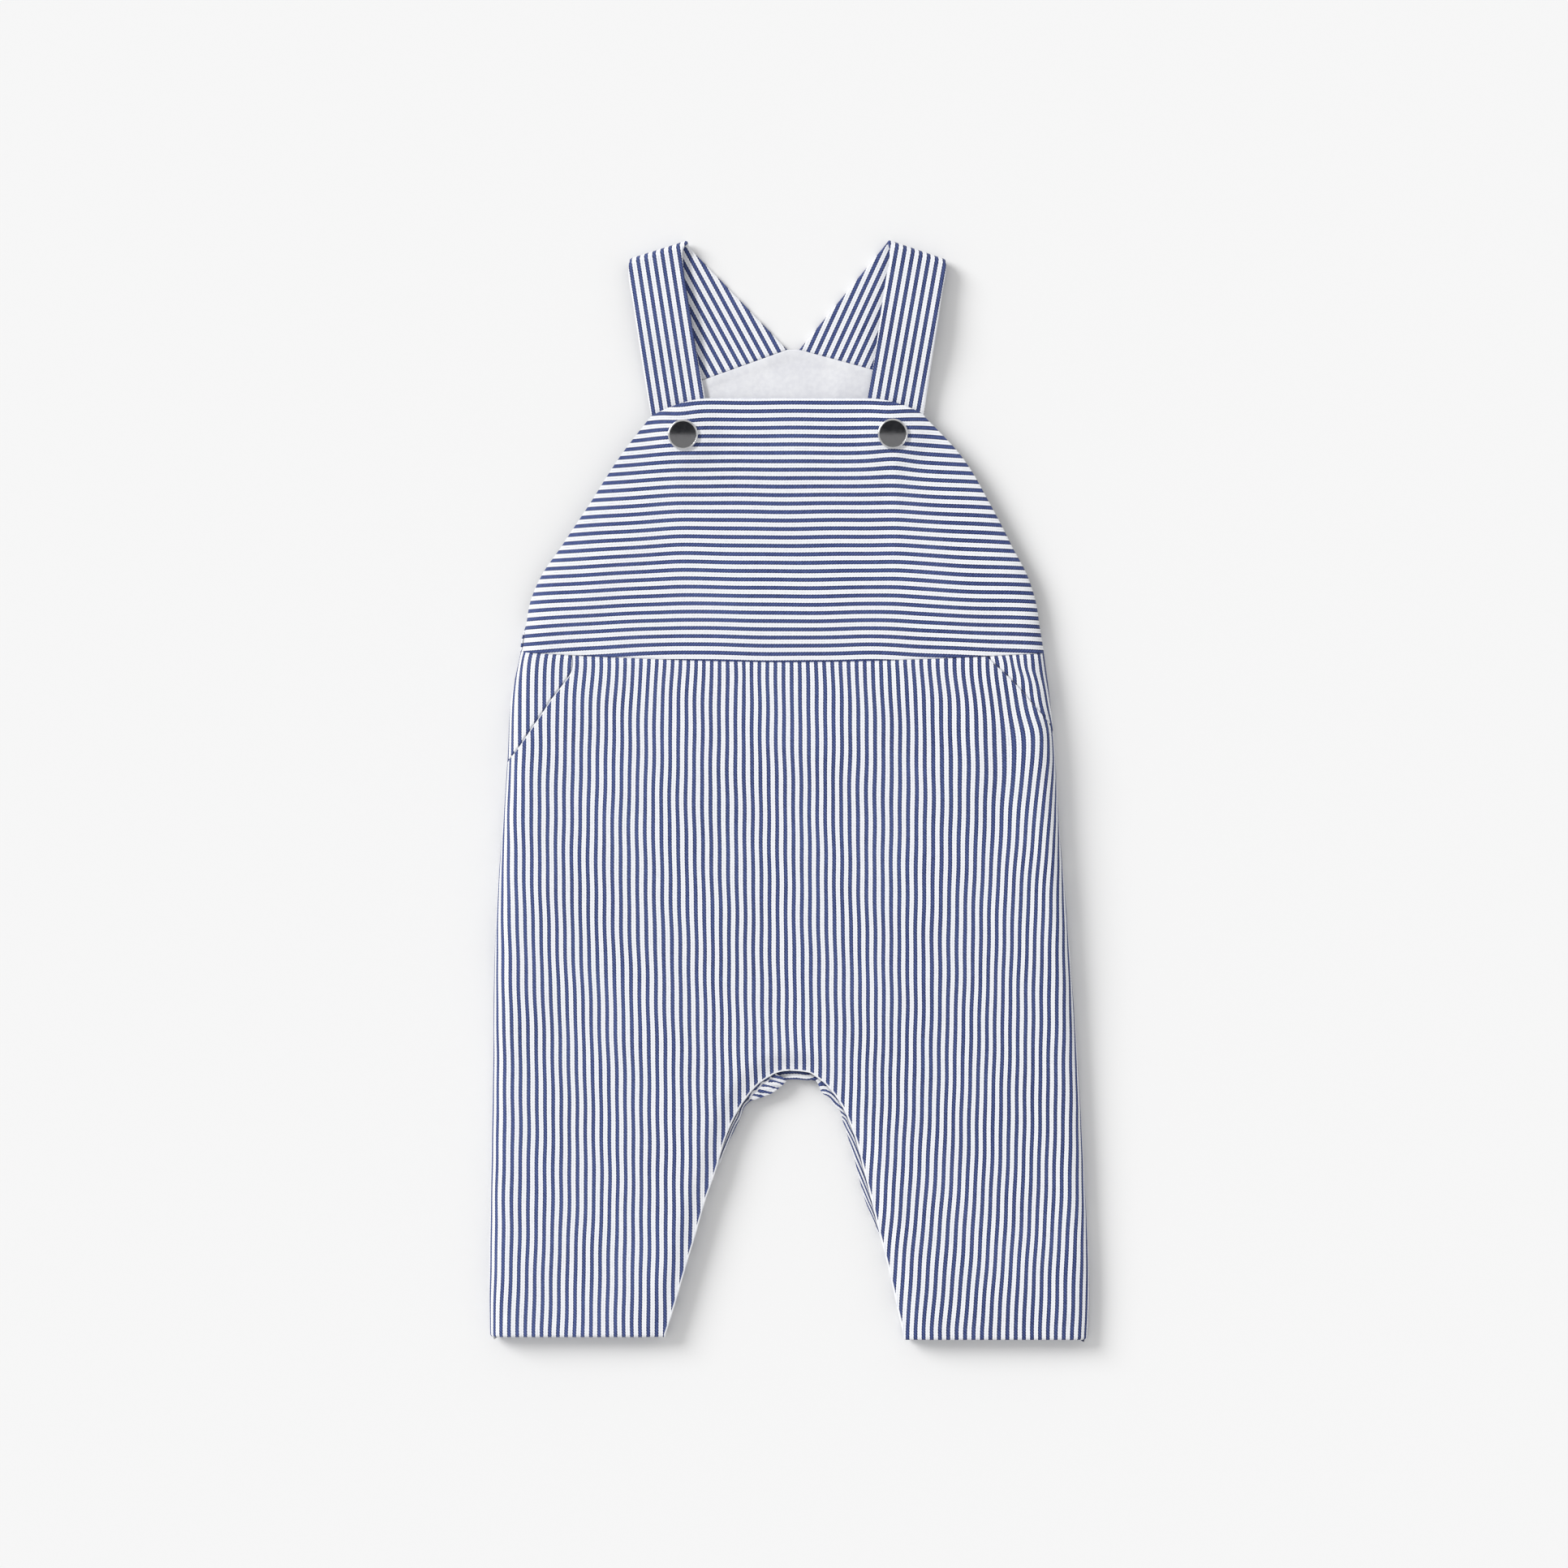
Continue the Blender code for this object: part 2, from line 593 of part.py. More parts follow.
def turned(name, profile, place, slot):
    """Round piece from a closed profile of radius and height, about a vertical axis."""
    form = bmesh.new()
    angles = [2 * math.pi * step / ROUND_STEPS for step in range(ROUND_STEPS)]
    rings = []
    for radius, height in profile:
        if radius == 0.0:
            rings.append([form.verts.new((place[0] * MM, place[1] * MM, height * MM))] * ROUND_STEPS)
            continue
        ring = [(place[0] + radius * math.cos(angle), place[1] + radius * math.sin(angle))
                for angle in angles]
        rings.append([form.verts.new((x * MM, y * MM, height * MM)) for x, y in ring])
    pairs = list(zip(rings, rings[1:]))
    if profile[0][0] > 0.0:
        pairs.append((rings[-1], rings[0]))
    for low, high in pairs:
        for step in range(ROUND_STEPS):
            after = (step + 1) % ROUND_STEPS
            face = [low[step], low[after], high[after], high[step]]
            form.faces.new(list(dict.fromkeys(face)))
    bmesh.ops.recalc_face_normals(form, faces=form.faces)
    mesh = bpy.data.meshes.new(name)
    form.to_mesh(mesh)
    form.free()
    add_object(name, mesh, slot)
    mesh.shade_smooth()
    mesh.set_sharp_from_angle(angle=math.radians(35))


def build_snaps():
    """Cap on the bib, socket under it and stud on the strap, closed, on each side."""
    base = STRAP_LOW + STRAP_WALL / 2 + GAP
    flange = base + STUD_FLANGE_THICK
    top = base + SNAP_PARTS_HEIGHT
    knob = top - KNOB_BELOW_TOP
    seat = BIB_TOP_HEIGHT + SNAP_RIDGE + 2 * GAP
    stud = [
        (0.0, base), (STUD_FLANGE, base), (STUD_FLANGE, flange), (STUD_KNOB * 0.8, flange),
        (STUD_KNOB, knob - KNOB_ROUND), (STUD_KNOB - KNOB_ROUND, knob), (0.0, knob)]
    socket = [
        (SOCKET_BORE, flange + GAP), (SOCKET_RADIUS, flange + GAP),
        (SOCKET_RADIUS, top), (SOCKET_BORE, top)]
    rim = [(CAP_RADIUS - inset, seat + rise) for inset, rise in CAP_SECTION]
    cap = [(0.0, seat)] + rim + [(0.0, seat + CAP_FACE)]
    for side, strap in STRAPS.items():
        turned("snap_stud_" + side, stud, strap["snap"], "nickel")
        turned("snap_socket_" + side, socket, strap["snap"], "nickel")
        turned("snap_cap_" + side, cap, strap["snap"], "nickel")


for old in list(bpy.data.objects):
    bpy.data.objects.remove(old)

build_trouser_front()
build_hips()
build_trouser_back()
build_inseam_placket()
build_bib_front()
build_back_upper()
build_back_lining()
build_straps()
build_snaps()
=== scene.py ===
"""Looks of a baby's striped dungarees, laid flat on their back with both snaps closed.

Tables and sizes are in millimetres.  +X is the viewer's right, +Y runs from the hems to the
shoulders and +Z is up.  Each piece of cloth is worked out as its outer skin, a grid of rows
and columns, which cloth_piece() closes into a wall with round, turned edges.
"""

import math

import bpy
import numpy as np
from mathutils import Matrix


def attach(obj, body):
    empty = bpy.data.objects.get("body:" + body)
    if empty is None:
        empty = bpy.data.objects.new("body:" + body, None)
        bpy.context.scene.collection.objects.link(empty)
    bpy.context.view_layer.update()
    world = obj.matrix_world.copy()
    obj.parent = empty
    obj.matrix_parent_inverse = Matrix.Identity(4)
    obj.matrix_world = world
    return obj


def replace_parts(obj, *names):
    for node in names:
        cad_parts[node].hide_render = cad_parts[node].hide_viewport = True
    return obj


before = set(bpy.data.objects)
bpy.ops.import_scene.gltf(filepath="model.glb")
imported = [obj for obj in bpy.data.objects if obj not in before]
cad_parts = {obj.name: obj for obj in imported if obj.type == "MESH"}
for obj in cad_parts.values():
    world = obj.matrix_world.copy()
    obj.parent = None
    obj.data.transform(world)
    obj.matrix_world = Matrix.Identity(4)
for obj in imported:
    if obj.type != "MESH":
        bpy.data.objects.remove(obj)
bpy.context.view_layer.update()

# ---- Back of the trousers --------------------------------------------------------------------
# One piece of cotton twill for both legs, yarn-dyed in blue and white stripes that run
# lengthwise.  It lies flat on the surface, turns up to the side seams, where the front is
# sewn to it, and is turned up at the hems.

MM = 0.001
STRIPE = 4.06               # repeat of the stripes
BLUE_HALF = 0.240           # half width of the blue, as a share of the repeat
BLUE_MIDDLE = 0.02          # half width of its lightest part
PAINTED_SHADE_BLUE_WIDER = 0.06           # painted shade: how much the blue's half width grows to the right, a metre, darker away from the lamp on the left
TICK = 1.37                 # length along a stripe from one step of the twill to the next
TICK_LEAN = 2.1             # steps that the twill line moves on across one stripe repeat
STEP_DEPTH = 0.020          # how far the twill's steps reach into the white
STEP_SOFT = 0.016
STEP_WANDER = 2.5           # how far the steps stray along a stripe, as an angle
LINE_WANDER = 0.012         # how far a stripe's edges stray
WANDER_CELLS = 260.0        # cells a metre of the noise for what strays,
FLECK_CELLS = 900.0         # for single threads
FADE_CELLS = 28.0           # and for faded patches
FLECK_SPAN = (0.35, 0.65)
BLUE_DEEP = (0.008, 0.016, 0.084, 1.0)
BLUE_LIGHT = (0.080, 0.114, 0.292, 1.0)
BLUE_BASE = -0.57           # share of the light blue, before what adds to it:
BLUE_BY_MIDDLE = 0.55       # the middle of the stripe,
BLUE_BY_STEP = 0.22         # the twill's steps,
BLUE_BY_FLECK = 1.00        # single threads
BLUE_BY_FADE = 0.50         # and faded patches
PAINTED_SHADE_BLUE_DEEPER = 0.7           # painted shade: how much deeper the blue is to the right, a metre, darker away from the lamp on the left
WHITE = (0.880, 0.890, 0.920, 1.0)
WHITE_LINE = (0.650, 0.670, 0.730, 1.0)     # thin shade along the middle of a white stripe
WHITE_LINE_SPAN = (0.40, 0.49)              # where it starts and is full, from the blue's middle
WHITE_LINE_BREAK = 0.35     # its strength where threads break it
WHITE_BASE = 0.04
WHITE_BY_STEP = 0.06
EDGE_WIDTH = 0.38           # white along a turned edge
EDGE_SOFT = 0.08
YARN_BY_STEP = 0.5
YARN_BY_FLECK = 0.8
YARN_HEIGHT = 0.00008       # in metres
YARN_STRENGTH = 0.30
TWILL_FINISH = {"Roughness": 0.82, "Specular IOR Level": 0.25, "Sheen Weight": 0.12,
                "Sheen Roughness": 0.5}


def node(tree, kind, inputs=None, **settings):
    """Shader node with its settings; an input is a number, a colour or another node's output."""
    made = tree.nodes.new(kind)
    for name, value in settings.items():
        setattr(made, name, value)
    for key, value in (inputs or {}).items():
        if isinstance(value, bpy.types.NodeSocket):
            tree.links.new(value, made.inputs[key])
        else:
            made.inputs[key].default_value = value
    return made


def sum_of(tree, *terms):
    """Output of the terms added up; a term is an output or a number."""
    total = terms[0]
    for term in terms[1:]:
        total = node(tree, "ShaderNodeMath", {0: total, 1: term}, operation="ADD").outputs[0]
    return total


def times(tree, first, second):
    """Output of two terms multiplied."""
    return node(tree, "ShaderNodeMath", {0: first, 1: second}, operation="MULTIPLY").outputs[0]


def ramp(tree, value, low, high, start=0.0, end=1.0):
    """Output that eases from start, where the value is at low, to end, at high."""
    made = node(tree, "ShaderNodeMapRange", {"Value": value, "From Min": low, "From Max": high,
                                             "To Min": start, "To Max": end},
                interpolation_type="SMOOTHSTEP")
    return made.outputs["Result"]


def blend(tree, share, first, second):
    """Output of two colours mixed by a share."""
    made = node(tree, "ShaderNodeMix", {0: share, 6: first, 7: second}, data_type="RGBA")
    return made.outputs[2]


def cloud(tree, vector, scale, detail=2.0):
    """Output of smooth noise, 0 to 1, at a scale in cells a unit."""
    made = node(tree, "ShaderNodeTexNoise", {"Vector": vector, "Scale": scale, "Detail": detail})
    return made.outputs["Fac"]


def dented(tree, shader, height, strength, distance):
    """Tilts a shader's normal by a height, at most a distance in metres."""
    bump = node(tree, "ShaderNodeBump", {"Strength": strength, "Distance": distance,
                                         "Height": height})
    tree.links.new(bump.outputs["Normal"], shader.inputs["Normal"])


def new_material(name, finish):
    """Material whose shader has the sockets that finish names set, its tree and its shader."""
    made = bpy.data.materials.new(name)
    made.use_nodes = True
    shader = made.node_tree.nodes["Principled BSDF"]
    for socket, value in finish.items():
        shader.inputs[socket].default_value = value
    return made, made.node_tree, shader


def striped_twill():
    """Twill from the piece's cloth map: U counts stripes and V is millimetres along them.

    A point is blue where its distance from the nearest whole U, plus a cosine of the twill's
    step, is under the blue's half width.  The attribute edge is the distance in millimetres
    from a turned edge, which shows white.
    """
    made, tree, shader = new_material("striped_twill", TWILL_FINISH)
    uv = node(tree, "ShaderNodeUVMap", uv_map="cloth").outputs["UV"]
    axes = node(tree, "ShaderNodeSeparateXYZ", {0: uv})
    across, along = axes.outputs["X"], axes.outputs["Y"]
    place = node(tree, "ShaderNodeTexCoord").outputs["Object"]
    right = node(tree, "ShaderNodeSeparateXYZ", {0: place}).outputs["X"]
    wander = cloud(tree, place, WANDER_CELLS)
    fleck = cloud(tree, place, FLECK_CELLS)
    fade = cloud(tree, place, FADE_CELLS)
    turns = sum_of(tree, times(tree, along, 2 * math.pi / TICK),
                   times(tree, across, 2 * math.pi * TICK_LEAN), times(tree, wander, STEP_WANDER))
    step = node(tree, "ShaderNodeMath", {0: turns}, operation="COSINE").outputs[0]
    near = node(tree, "ShaderNodeMath", {0: across, 1: 0.5}, operation="PINGPONG").outputs[0]
    # Painted shade: the blue's half width grows to the right, darker away from the lamp on the left
    stepped = sum_of(tree, near, times(tree, step, STEP_DEPTH), times(tree, wander, LINE_WANDER),
                     -LINE_WANDER / 2, times(tree, right, -PAINTED_SHADE_BLUE_WIDER))
    white = ramp(tree, stepped, BLUE_HALF - STEP_SOFT, BLUE_HALF + STEP_SOFT)

    # Blue is lightest along the middle of the stripe and between the steps; painted shade deepens it
    # to the right
    middle = ramp(tree, near, BLUE_MIDDLE, BLUE_HALF, 1.0, 0.0)
    lightness = sum_of(tree, times(tree, middle, BLUE_BY_MIDDLE), times(tree, step, BLUE_BY_STEP),
                       times(tree, fleck, BLUE_BY_FLECK), times(tree, fade, BLUE_BY_FADE),
                       BLUE_BASE, times(tree, right, -PAINTED_SHADE_BLUE_DEEPER))
    blue = blend(tree, lightness, BLUE_DEEP, BLUE_LIGHT)

    line = times(tree, ramp(tree, near, *WHITE_LINE_SPAN),
                 ramp(tree, fleck, *FLECK_SPAN, WHITE_LINE_BREAK, 1.0))
    line = sum_of(tree, line, times(tree, step, WHITE_BY_STEP), WHITE_BASE)
    ground = blend(tree, line, WHITE, WHITE_LINE)
    edge = node(tree, "ShaderNodeAttribute", attribute_name="edge").outputs["Fac"]
    pale = ramp(tree, edge, EDGE_WIDTH - EDGE_SOFT, EDGE_WIDTH + EDGE_SOFT, 1.0, 0.0)
    share = node(tree, "ShaderNodeMath", {0: white, 1: pale}, operation="MAXIMUM").outputs[0]
    tree.links.new(blend(tree, share, blue, ground), shader.inputs["Base Color"])
    yarn = sum_of(tree, times(tree, step, YARN_BY_STEP), times(tree, fleck, YARN_BY_FLECK))
    dented(tree, shader, yarn, YARN_STRENGTH, YARN_HEIGHT)
    return made


TWILL = striped_twill()

# How cloth becomes a mesh.  The last axis of a grid holds x, y, z, U, V and edge, and the
# grids of one piece are welded where they touch.
WELD = 0.0002               # points closer than this are one
EDGE_FAR = 9.0              # distance from a turned edge where there is none near
CLOSE = np.array([0.0, 0.06, 0.16, 0.32, 0.55, 0.85])   # distances from a border of its rows
BATCH = 400                 # points compared with the border at once


def cubic(place, value, at):
    """Values given at rising places, read at others: a cubic in each span, whose slopes are
    those of the neighbouring places.  value may carry leading axes like those of at."""
    at = np.clip(np.asarray(at, float), place[0], place[-1])
    value = np.broadcast_to(value, at.shape + (len(place),))
    slope = np.gradient(value, place, axis=-1)
    span = np.clip(np.searchsorted(place, at) - 1, 0, len(place) - 2)
    width = place[span + 1] - place[span]
    t = (at - place[span]) / width

    def pick(array, step):
        return np.take_along_axis(array, (span + step)[..., None], -1)[..., 0]

    start = (1 + 2 * t) * (1 - t) ** 2 * pick(value, 0) + t * (1 - t) ** 2 * width * pick(slope, 0)
    end = t * t * (3 - 2 * t) * pick(value, 1) - t * t * (1 - t) * width * pick(slope, 1)
    return start + end


def from_table(rows, column, at):
    """A table's column at places of its first column, in either order, as cubic() reads it."""
    table = np.array(rows, float)
    table = table[np.argsort(table[:, 0])]
    return cubic(table[:, 0], table[:, column], at)


def eased(share):
    """0 to 1 with level ends: three times the square less twice the cube."""
    share = np.clip(share, 0.0, 1.0)
    return share * share * (3 - 2 * share)


def corner(run, width):
    """Plan distance and height share at a run of cloth from a rounded edge: a quarter circle
    of radius width seen from above, then level."""
    angle = np.minimum(run / width, math.pi / 2)
    past = np.maximum(run - width * math.pi / 2, 0.0)
    return width * (1 - np.cos(angle)) + past, np.sin(angle)


def run_of(plan, width):
    """Run of cloth from a rounded edge that covers a plan distance; corner() read backwards."""
    angle = np.arccos(np.clip(1 - plan / width, 0.0, 1.0))
    return width * angle + np.maximum(plan - width, 0.0)


def fine_ends(length, count, first=True, last=True):
    """Distances from 0 to each length in count even steps, with close-set ones at the ends."""
    length = np.asarray(length, float)[..., None]
    start = CLOSE if first else np.zeros(1)
    end = CLOSE if last else np.zeros(1)
    middle = np.linspace(0.0, 1.0, count)[1:-1]
    inner = start[-1] + (length - start[-1] - end[-1]) * middle
    ones = np.ones_like(length)
    return np.concatenate([start * ones, inner, length - end[::-1] * ones], axis=-1)


def grid_of(x, y, z, across, along, edge=EDGE_FAR):
    """Grid from its places, its cloth map and its distance from a turned edge, each an array
    or a number."""
    return np.stack(np.broadcast_arrays(x, y, z, across, along, edge), axis=-1).astype(float)


def grid_normals(points):
    """Unit normals of a grid, from its differences down the rows and across the columns."""
    down = np.gradient(points[..., :3], axis=0)
    across = np.gradient(points[..., :3], axis=1)
    out = np.cross(down, across)
    return out / np.maximum(np.linalg.norm(out, axis=-1, keepdims=True), 1e-9)


def weld(grids):
    """Points of several grids, each once, and the quads between them."""
    flat = np.concatenate([grid.reshape(-1, grid.shape[-1]) for grid in grids])
    quads = []
    start = 0
    for grid in grids:
        rows, columns = grid.shape[:2]
        index = start + np.arange(rows * columns).reshape(rows, columns)
        quads.append(np.stack([index[:-1, :-1], index[1:, :-1], index[1:, 1:], index[:-1, 1:]],
                              axis=-1).reshape(-1, 4))
        start += rows * columns
    key = np.round(flat[:, :3] / WELD).astype(np.int64)
    _, first, again = np.unique(key, axis=0, return_index=True, return_inverse=True)
    quads = again.reshape(-1)[np.concatenate(quads)]
    return flat[first], quads


def rim_distance(points, quads):
    """Distance of each point from the nearest one on the open border of its welded grids."""
    edges = np.sort(np.concatenate([quads[:, [k, (k + 1) % 4]] for k in range(4)]), axis=1)
    kinds, uses = np.unique(edges, axis=0, return_counts=True)
    border = np.unique(kinds[(uses == 1) & (kinds[:, 0] != kinds[:, 1])])
    away = np.zeros(len(points))
    for batch in np.array_split(np.arange(len(points)), max(1, len(points) // BATCH)):
        apart = points[batch, None] - points[None, border]
        away[batch] = np.sqrt((apart ** 2).sum(axis=-1)).min(axis=1)
    away[border] = 0.0
    return away


def new_piece(name, places, faces, facts, material):
    """Piece from places, quads and the facts U, V and edge of every place.

    A quad with two corners on one point becomes a triangle, and one with fewer is left out.
    """
    apart = faces != np.roll(faces, -1, axis=1)
    apart &= apart.sum(axis=1, keepdims=True) > 2
    used, index = np.unique(faces[apart], return_inverse=True)
    ends = np.cumsum(apart.sum(axis=1)[apart.any(axis=1)])
    facts = facts[used]
    mesh = bpy.data.meshes.new(name)
    mesh.from_pydata((places[used] * MM).tolist(), [], np.split(index.ravel(), ends[:-1]))
    mesh.uv_layers.new(name="cloth").data.foreach_set("uv", facts[index.ravel(), :2].ravel())
    mesh.attributes.new("edge", "FLOAT", "POINT").data.foreach_set("value", facts[:, 2].copy())
    mesh.shade_smooth()
    mesh.materials.append(material)
    piece = bpy.data.objects.new(name, mesh)
    bpy.context.scene.collection.objects.link(piece)
    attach(piece, "root")
    return piece


def cloth_piece(name, skins, wall, material=TWILL):
    """Closed cloth below its welded outer skins.

    Its middle surface lies half the wall in from the skins, along their normals.  The two
    sides stand off that by half the wall, which falls to nothing at every open edge as a
    quarter circle does, so edges are round and the mesh has no hole.
    """
    points, quads = weld(skins)
    ring = points[quads, :3]
    face_normals = np.cross(ring[:, 2] - ring[:, 0], ring[:, 3] - ring[:, 1])
    normals = np.zeros((len(points), 3))
    for k in range(4):
        np.add.at(normals, quads[:, k], face_normals)
    normals /= np.maximum(np.linalg.norm(normals, axis=1, keepdims=True), 1e-12)
    middle = points[:, :3] - normals * wall / 2
    away = np.minimum(rim_distance(middle, quads) / (wall / 2), 1.0)
    half = wall / 2 * np.sqrt(np.maximum(1 - (1 - away) ** 2, 0.0))
    count = len(points)
    under = np.where(half > 0, np.arange(count) + count, np.arange(count))
    places = np.concatenate([middle + normals * half[:, None], middle - normals * half[:, None]])
    facts = np.concatenate([points[:, 3:], points[:, 3:]])
    faces = np.concatenate([quads, under[quads[:, ::-1]]])
    return new_piece(name, places, faces, facts, material)


# The trousers' outline: the side seams, the sagging waist seam and the opening between the legs
TWILL_WALL = 1.2
SEAM_HEIGHT = 4.5           # top of the back at the side seams
BACK_LIFT = 1.5             # how far the back turns up to its inner leg edges
BACK_LIFT_WIDTH = 7.0
BACK_CORNER = 5.0           # width over which the back turns up to a side seam
BACK_BODY_ROWS = 60
BACK_LEG_ROWS = 50
BACK_COLUMNS = 40
CENTRE_X = 0.2
CROTCH_Y = -138.4
CROTCH_POINTS = 200         # on the front's edge, crowded towards the crotch as a cube
LEG_CROWDING = 1.7          # power that crowds the legs' rows towards the crotch
HEM_Y = {"left": -269.8, "right": -271.2}
HEM_FOLD = 0.95             # radius of the turned hem's fold, at the middle of the cloth
HEM_FOLD_ROWS = 7
HEM_DEPTH = 10.0
WAIST_Y = 63.0
WAIST_RISE = 4.8
WAIST_HALF = 131.0
WAIST_SAG_POWER = 1.7
WAIST_LAP = 1.4             # the trousers run on this far under the bib's edge
SIDE_WAIST_Y = WAIST_Y + WAIST_RISE
TROUSER_TOP_Y = SIDE_WAIST_Y + WAIST_LAP

TROUSER_LEVELS = (
    # y, left side, right side, height of the top
    (67.8, -132.6, 125.8, 11.5),
    (45.0, -137.2, 128.6, 13.0),
    (15.0, -139.0, 131.2, 14.0),
    (-14.6, -141.2, 133.0, 14.0),
    (-62.6, -144.6, 137.0, 13.5),
    (-138.6, -146.4, 142.6, 11.4),
    (-194.6, -147.4, 145.8, 10.8),
    (-257.0, -148.0, 148.0, 9.8),
    (-271.2, -147.6, 147.2, 9.5),
)
FRONT_CROTCH = (
    # depth, half width left, half width right
    (0.0, 0.0, 0.0),
    (1.0, 6.3, 9.6),
    (3.0, 10.0, 12.9),
    (6.0, 14.6, 16.9),
    (12.0, 20.2, 22.2),
    (18.0, 24.4, 26.1),
    (25.0, 28.2, 29.3),
    (34.0, 31.9, 32.6),
    (50.0, 36.6, 36.8),
    (65.0, 41.8, 40.6),
    (80.0, 46.1, 44.2),
    (96.0, 50.9, 48.3),
    (126.4, 60.0, 55.2),
    (133.0, 62.2, 56.8),
)
BACK_CROTCH_DROP = 4.0
BACK_CROTCH = (
    # depth, half width left, half width right
    (0.0, 0.0, 0.0),
    (1.0, 5.0, 12.0),
    (3.0, 8.6, 14.6),
    (8.0, 16.0, 18.0),
    (15.0, 23.0, 24.6),
    (20.0, 25.6, 27.0),
    (30.0, 30.2, 29.8),
    (40.0, 34.6, 32.6),
    (60.0, 42.2, 38.2),
    (80.0, 47.8, 45.8),
    (122.0, 60.4, 55.5),
    (129.0, 62.7, 57.2),
)
SIDES = {"left": -1.0, "right": 1.0}
COLUMN = {"left": 1, "right": 2}


def side_x(level, side):
    """Side seam at a level."""
    return from_table(TROUSER_LEVELS, COLUMN[side], level)


def waist_line(x):
    """Waist seam: lowest at the middle, rising with a power of the distance from it."""
    return WAIST_Y + WAIST_RISE * np.abs(x / WAIST_HALF) ** WAIST_SAG_POWER


def crotch_edge(rows, drop, level, side):
    """Edge between the legs at a level: the table read over the root of its depth, so that
    the curve is round at the top.  Above the crotch it is the middle line."""
    depth = np.maximum(CROTCH_Y - drop - level, 0.0)
    roots = [(math.sqrt(row[0]), row[1], row[2]) for row in rows]
    return CENTRE_X + SIDES[side] * from_table(roots, COLUMN[side], np.sqrt(depth))


def crotch_distance(x, y):
    """Plan distance to the front's edge at the crotch and inner legs, the least over the
    edge's short straight spans; negative in the opening between the legs."""
    level = CROTCH_Y - FRONT_CROTCH[-1][0] * np.linspace(0.0, 1.0, CROTCH_POINTS) ** 3
    edge = np.concatenate([
        np.stack([crotch_edge(FRONT_CROTCH, 0.0, level, side), level], axis=-1)[::step]
        for side, step in (("left", -1), ("right", 1))])
    start, span = edge[:-1], np.diff(edge, axis=0)
    size = np.maximum((span ** 2).sum(axis=1), 1e-12)
    rows = []
    for place in np.stack([x, y], axis=-1):
        from_start = place[:, None] - start
        share = np.clip((from_start * span).sum(axis=-1) / size, 0.0, 1.0)
        rows.append(np.linalg.norm(from_start - span * share[..., None], axis=-1).min(axis=1))
    away = np.array(rows)
    inside = (x > crotch_edge(FRONT_CROTCH, 0.0, y, "left"))
    inside &= (x < crotch_edge(FRONT_CROTCH, 0.0, y, "right")) & (y < CROTCH_Y)
    return np.where(inside, -away, away)


def sagged(level, x):
    """Y of a level: it follows the waist seam's sag, less and less down to the crotch."""
    share = np.clip((level - CROTCH_Y) / (SIDE_WAIST_Y - CROTCH_Y), 0.0, 1.0)
    return level + (waist_line(x) - SIDE_WAIST_Y) * share


def trouser_levels(crotch_y, side, body_rows, leg_rows):
    """Levels from the waist to where the hem's fold starts, close together at the crotch."""
    body = TROUSER_TOP_Y - fine_ends(TROUSER_TOP_Y - crotch_y, body_rows, last=False)
    hem = HEM_Y[side] + HEM_FOLD + TWILL_WALL / 2
    share = np.linspace(0.0, 1.0, leg_rows)[1:] ** LEG_CROWDING
    return np.concatenate([body, crotch_y + (hem - crotch_y) * share])


def from_seam(level, side, run, width):
    """Runs of cloth from a side seam that is rounded over a width: their x and y, the
    distance that they cover seen from above and their share of the height."""
    plan, rise = corner(run, width)
    x = side_x(level, side)[:, None] - SIDES[side] * plan
    return x, sagged(level[:, None], x), plan, rise


def unrolled(level, side, run, width):
    """X of the same runs with the cloth laid out flat: the side seam's, less the run, plus
    what the rounded corner takes up."""
    spare = width * (math.pi / 2 - 1)
    return side_x(level, side)[:, None] + SIDES[side] * (spare - run)


def with_hem(body, side):
    """Grid of half a front or back with its turned hem: a half circle of skin out to the hem
    line, then the body's last rows over again, inside by the fold's width, as the turn-up."""
    radius = HEM_FOLD + TWILL_WALL / 2
    normal = grid_normals(body)
    fold = []
    for turn in np.linspace(0.0, math.pi, HEM_FOLD_ROWS + 2)[1:-1]:
        row = body[-1].copy()
        row[:, :3] -= normal[-1] * radius * (1 - math.cos(turn))
        row[:, 1] -= radius * math.sin(turn)
        row[:, 4] -= radius * turn
        fold.append(row)
    inner = body[body[:, 0, 1] < HEM_Y[side] + HEM_DEPTH + radius].copy()
    inner[..., :3] -= 2 * radius * normal[-len(inner):]
    inner[..., 4] = 2 * inner[-1:, :, 4] - math.pi * radius - inner[..., 4]
    return np.concatenate([body, np.array(fold), inner[::-1]])


def back_half(side):
    """Outer skin of half the back: runs in from the side seam, the height falling from the
    seam as a quarter circle does.  Stripes are counted along the run."""
    level = trouser_levels(CROTCH_Y - BACK_CROTCH_DROP, side, BACK_BODY_ROWS, BACK_LEG_ROWS)
    inner = np.abs(crotch_edge(BACK_CROTCH, BACK_CROTCH_DROP, level, side) - side_x(level, side))
    run = fine_ends(run_of(inner, BACK_CORNER), BACK_COLUMNS)
    x, y, _, rise = from_seam(level, side, run, BACK_CORNER)
    z = SEAM_HEIGHT * (1 - rise)
    z += BACK_LIFT * (1 - eased(crotch_distance(x, y) / BACK_LIFT_WIDTH))
    skin = grid_of(x, y, z, unrolled(level, side, run, BACK_CORNER) / STRIPE, y)
    return with_hem(skin if side == "right" else skin[:, ::-1], side)


back_halves = [back_half(side) for side in SIDES]
trouser_back = cloth_piece("trouser_back_cloth", back_halves, TWILL_WALL)
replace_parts(trouser_back, "trouser_back")

# ---- Inseam placket --------------------------------------------------------------------------
# A strip of the twill, cut lengthwise, round the crotch and both inner legs.  It is sewn on the
# back, shows as a narrow, twisted edge under the front and puckers out at the crotch's left.

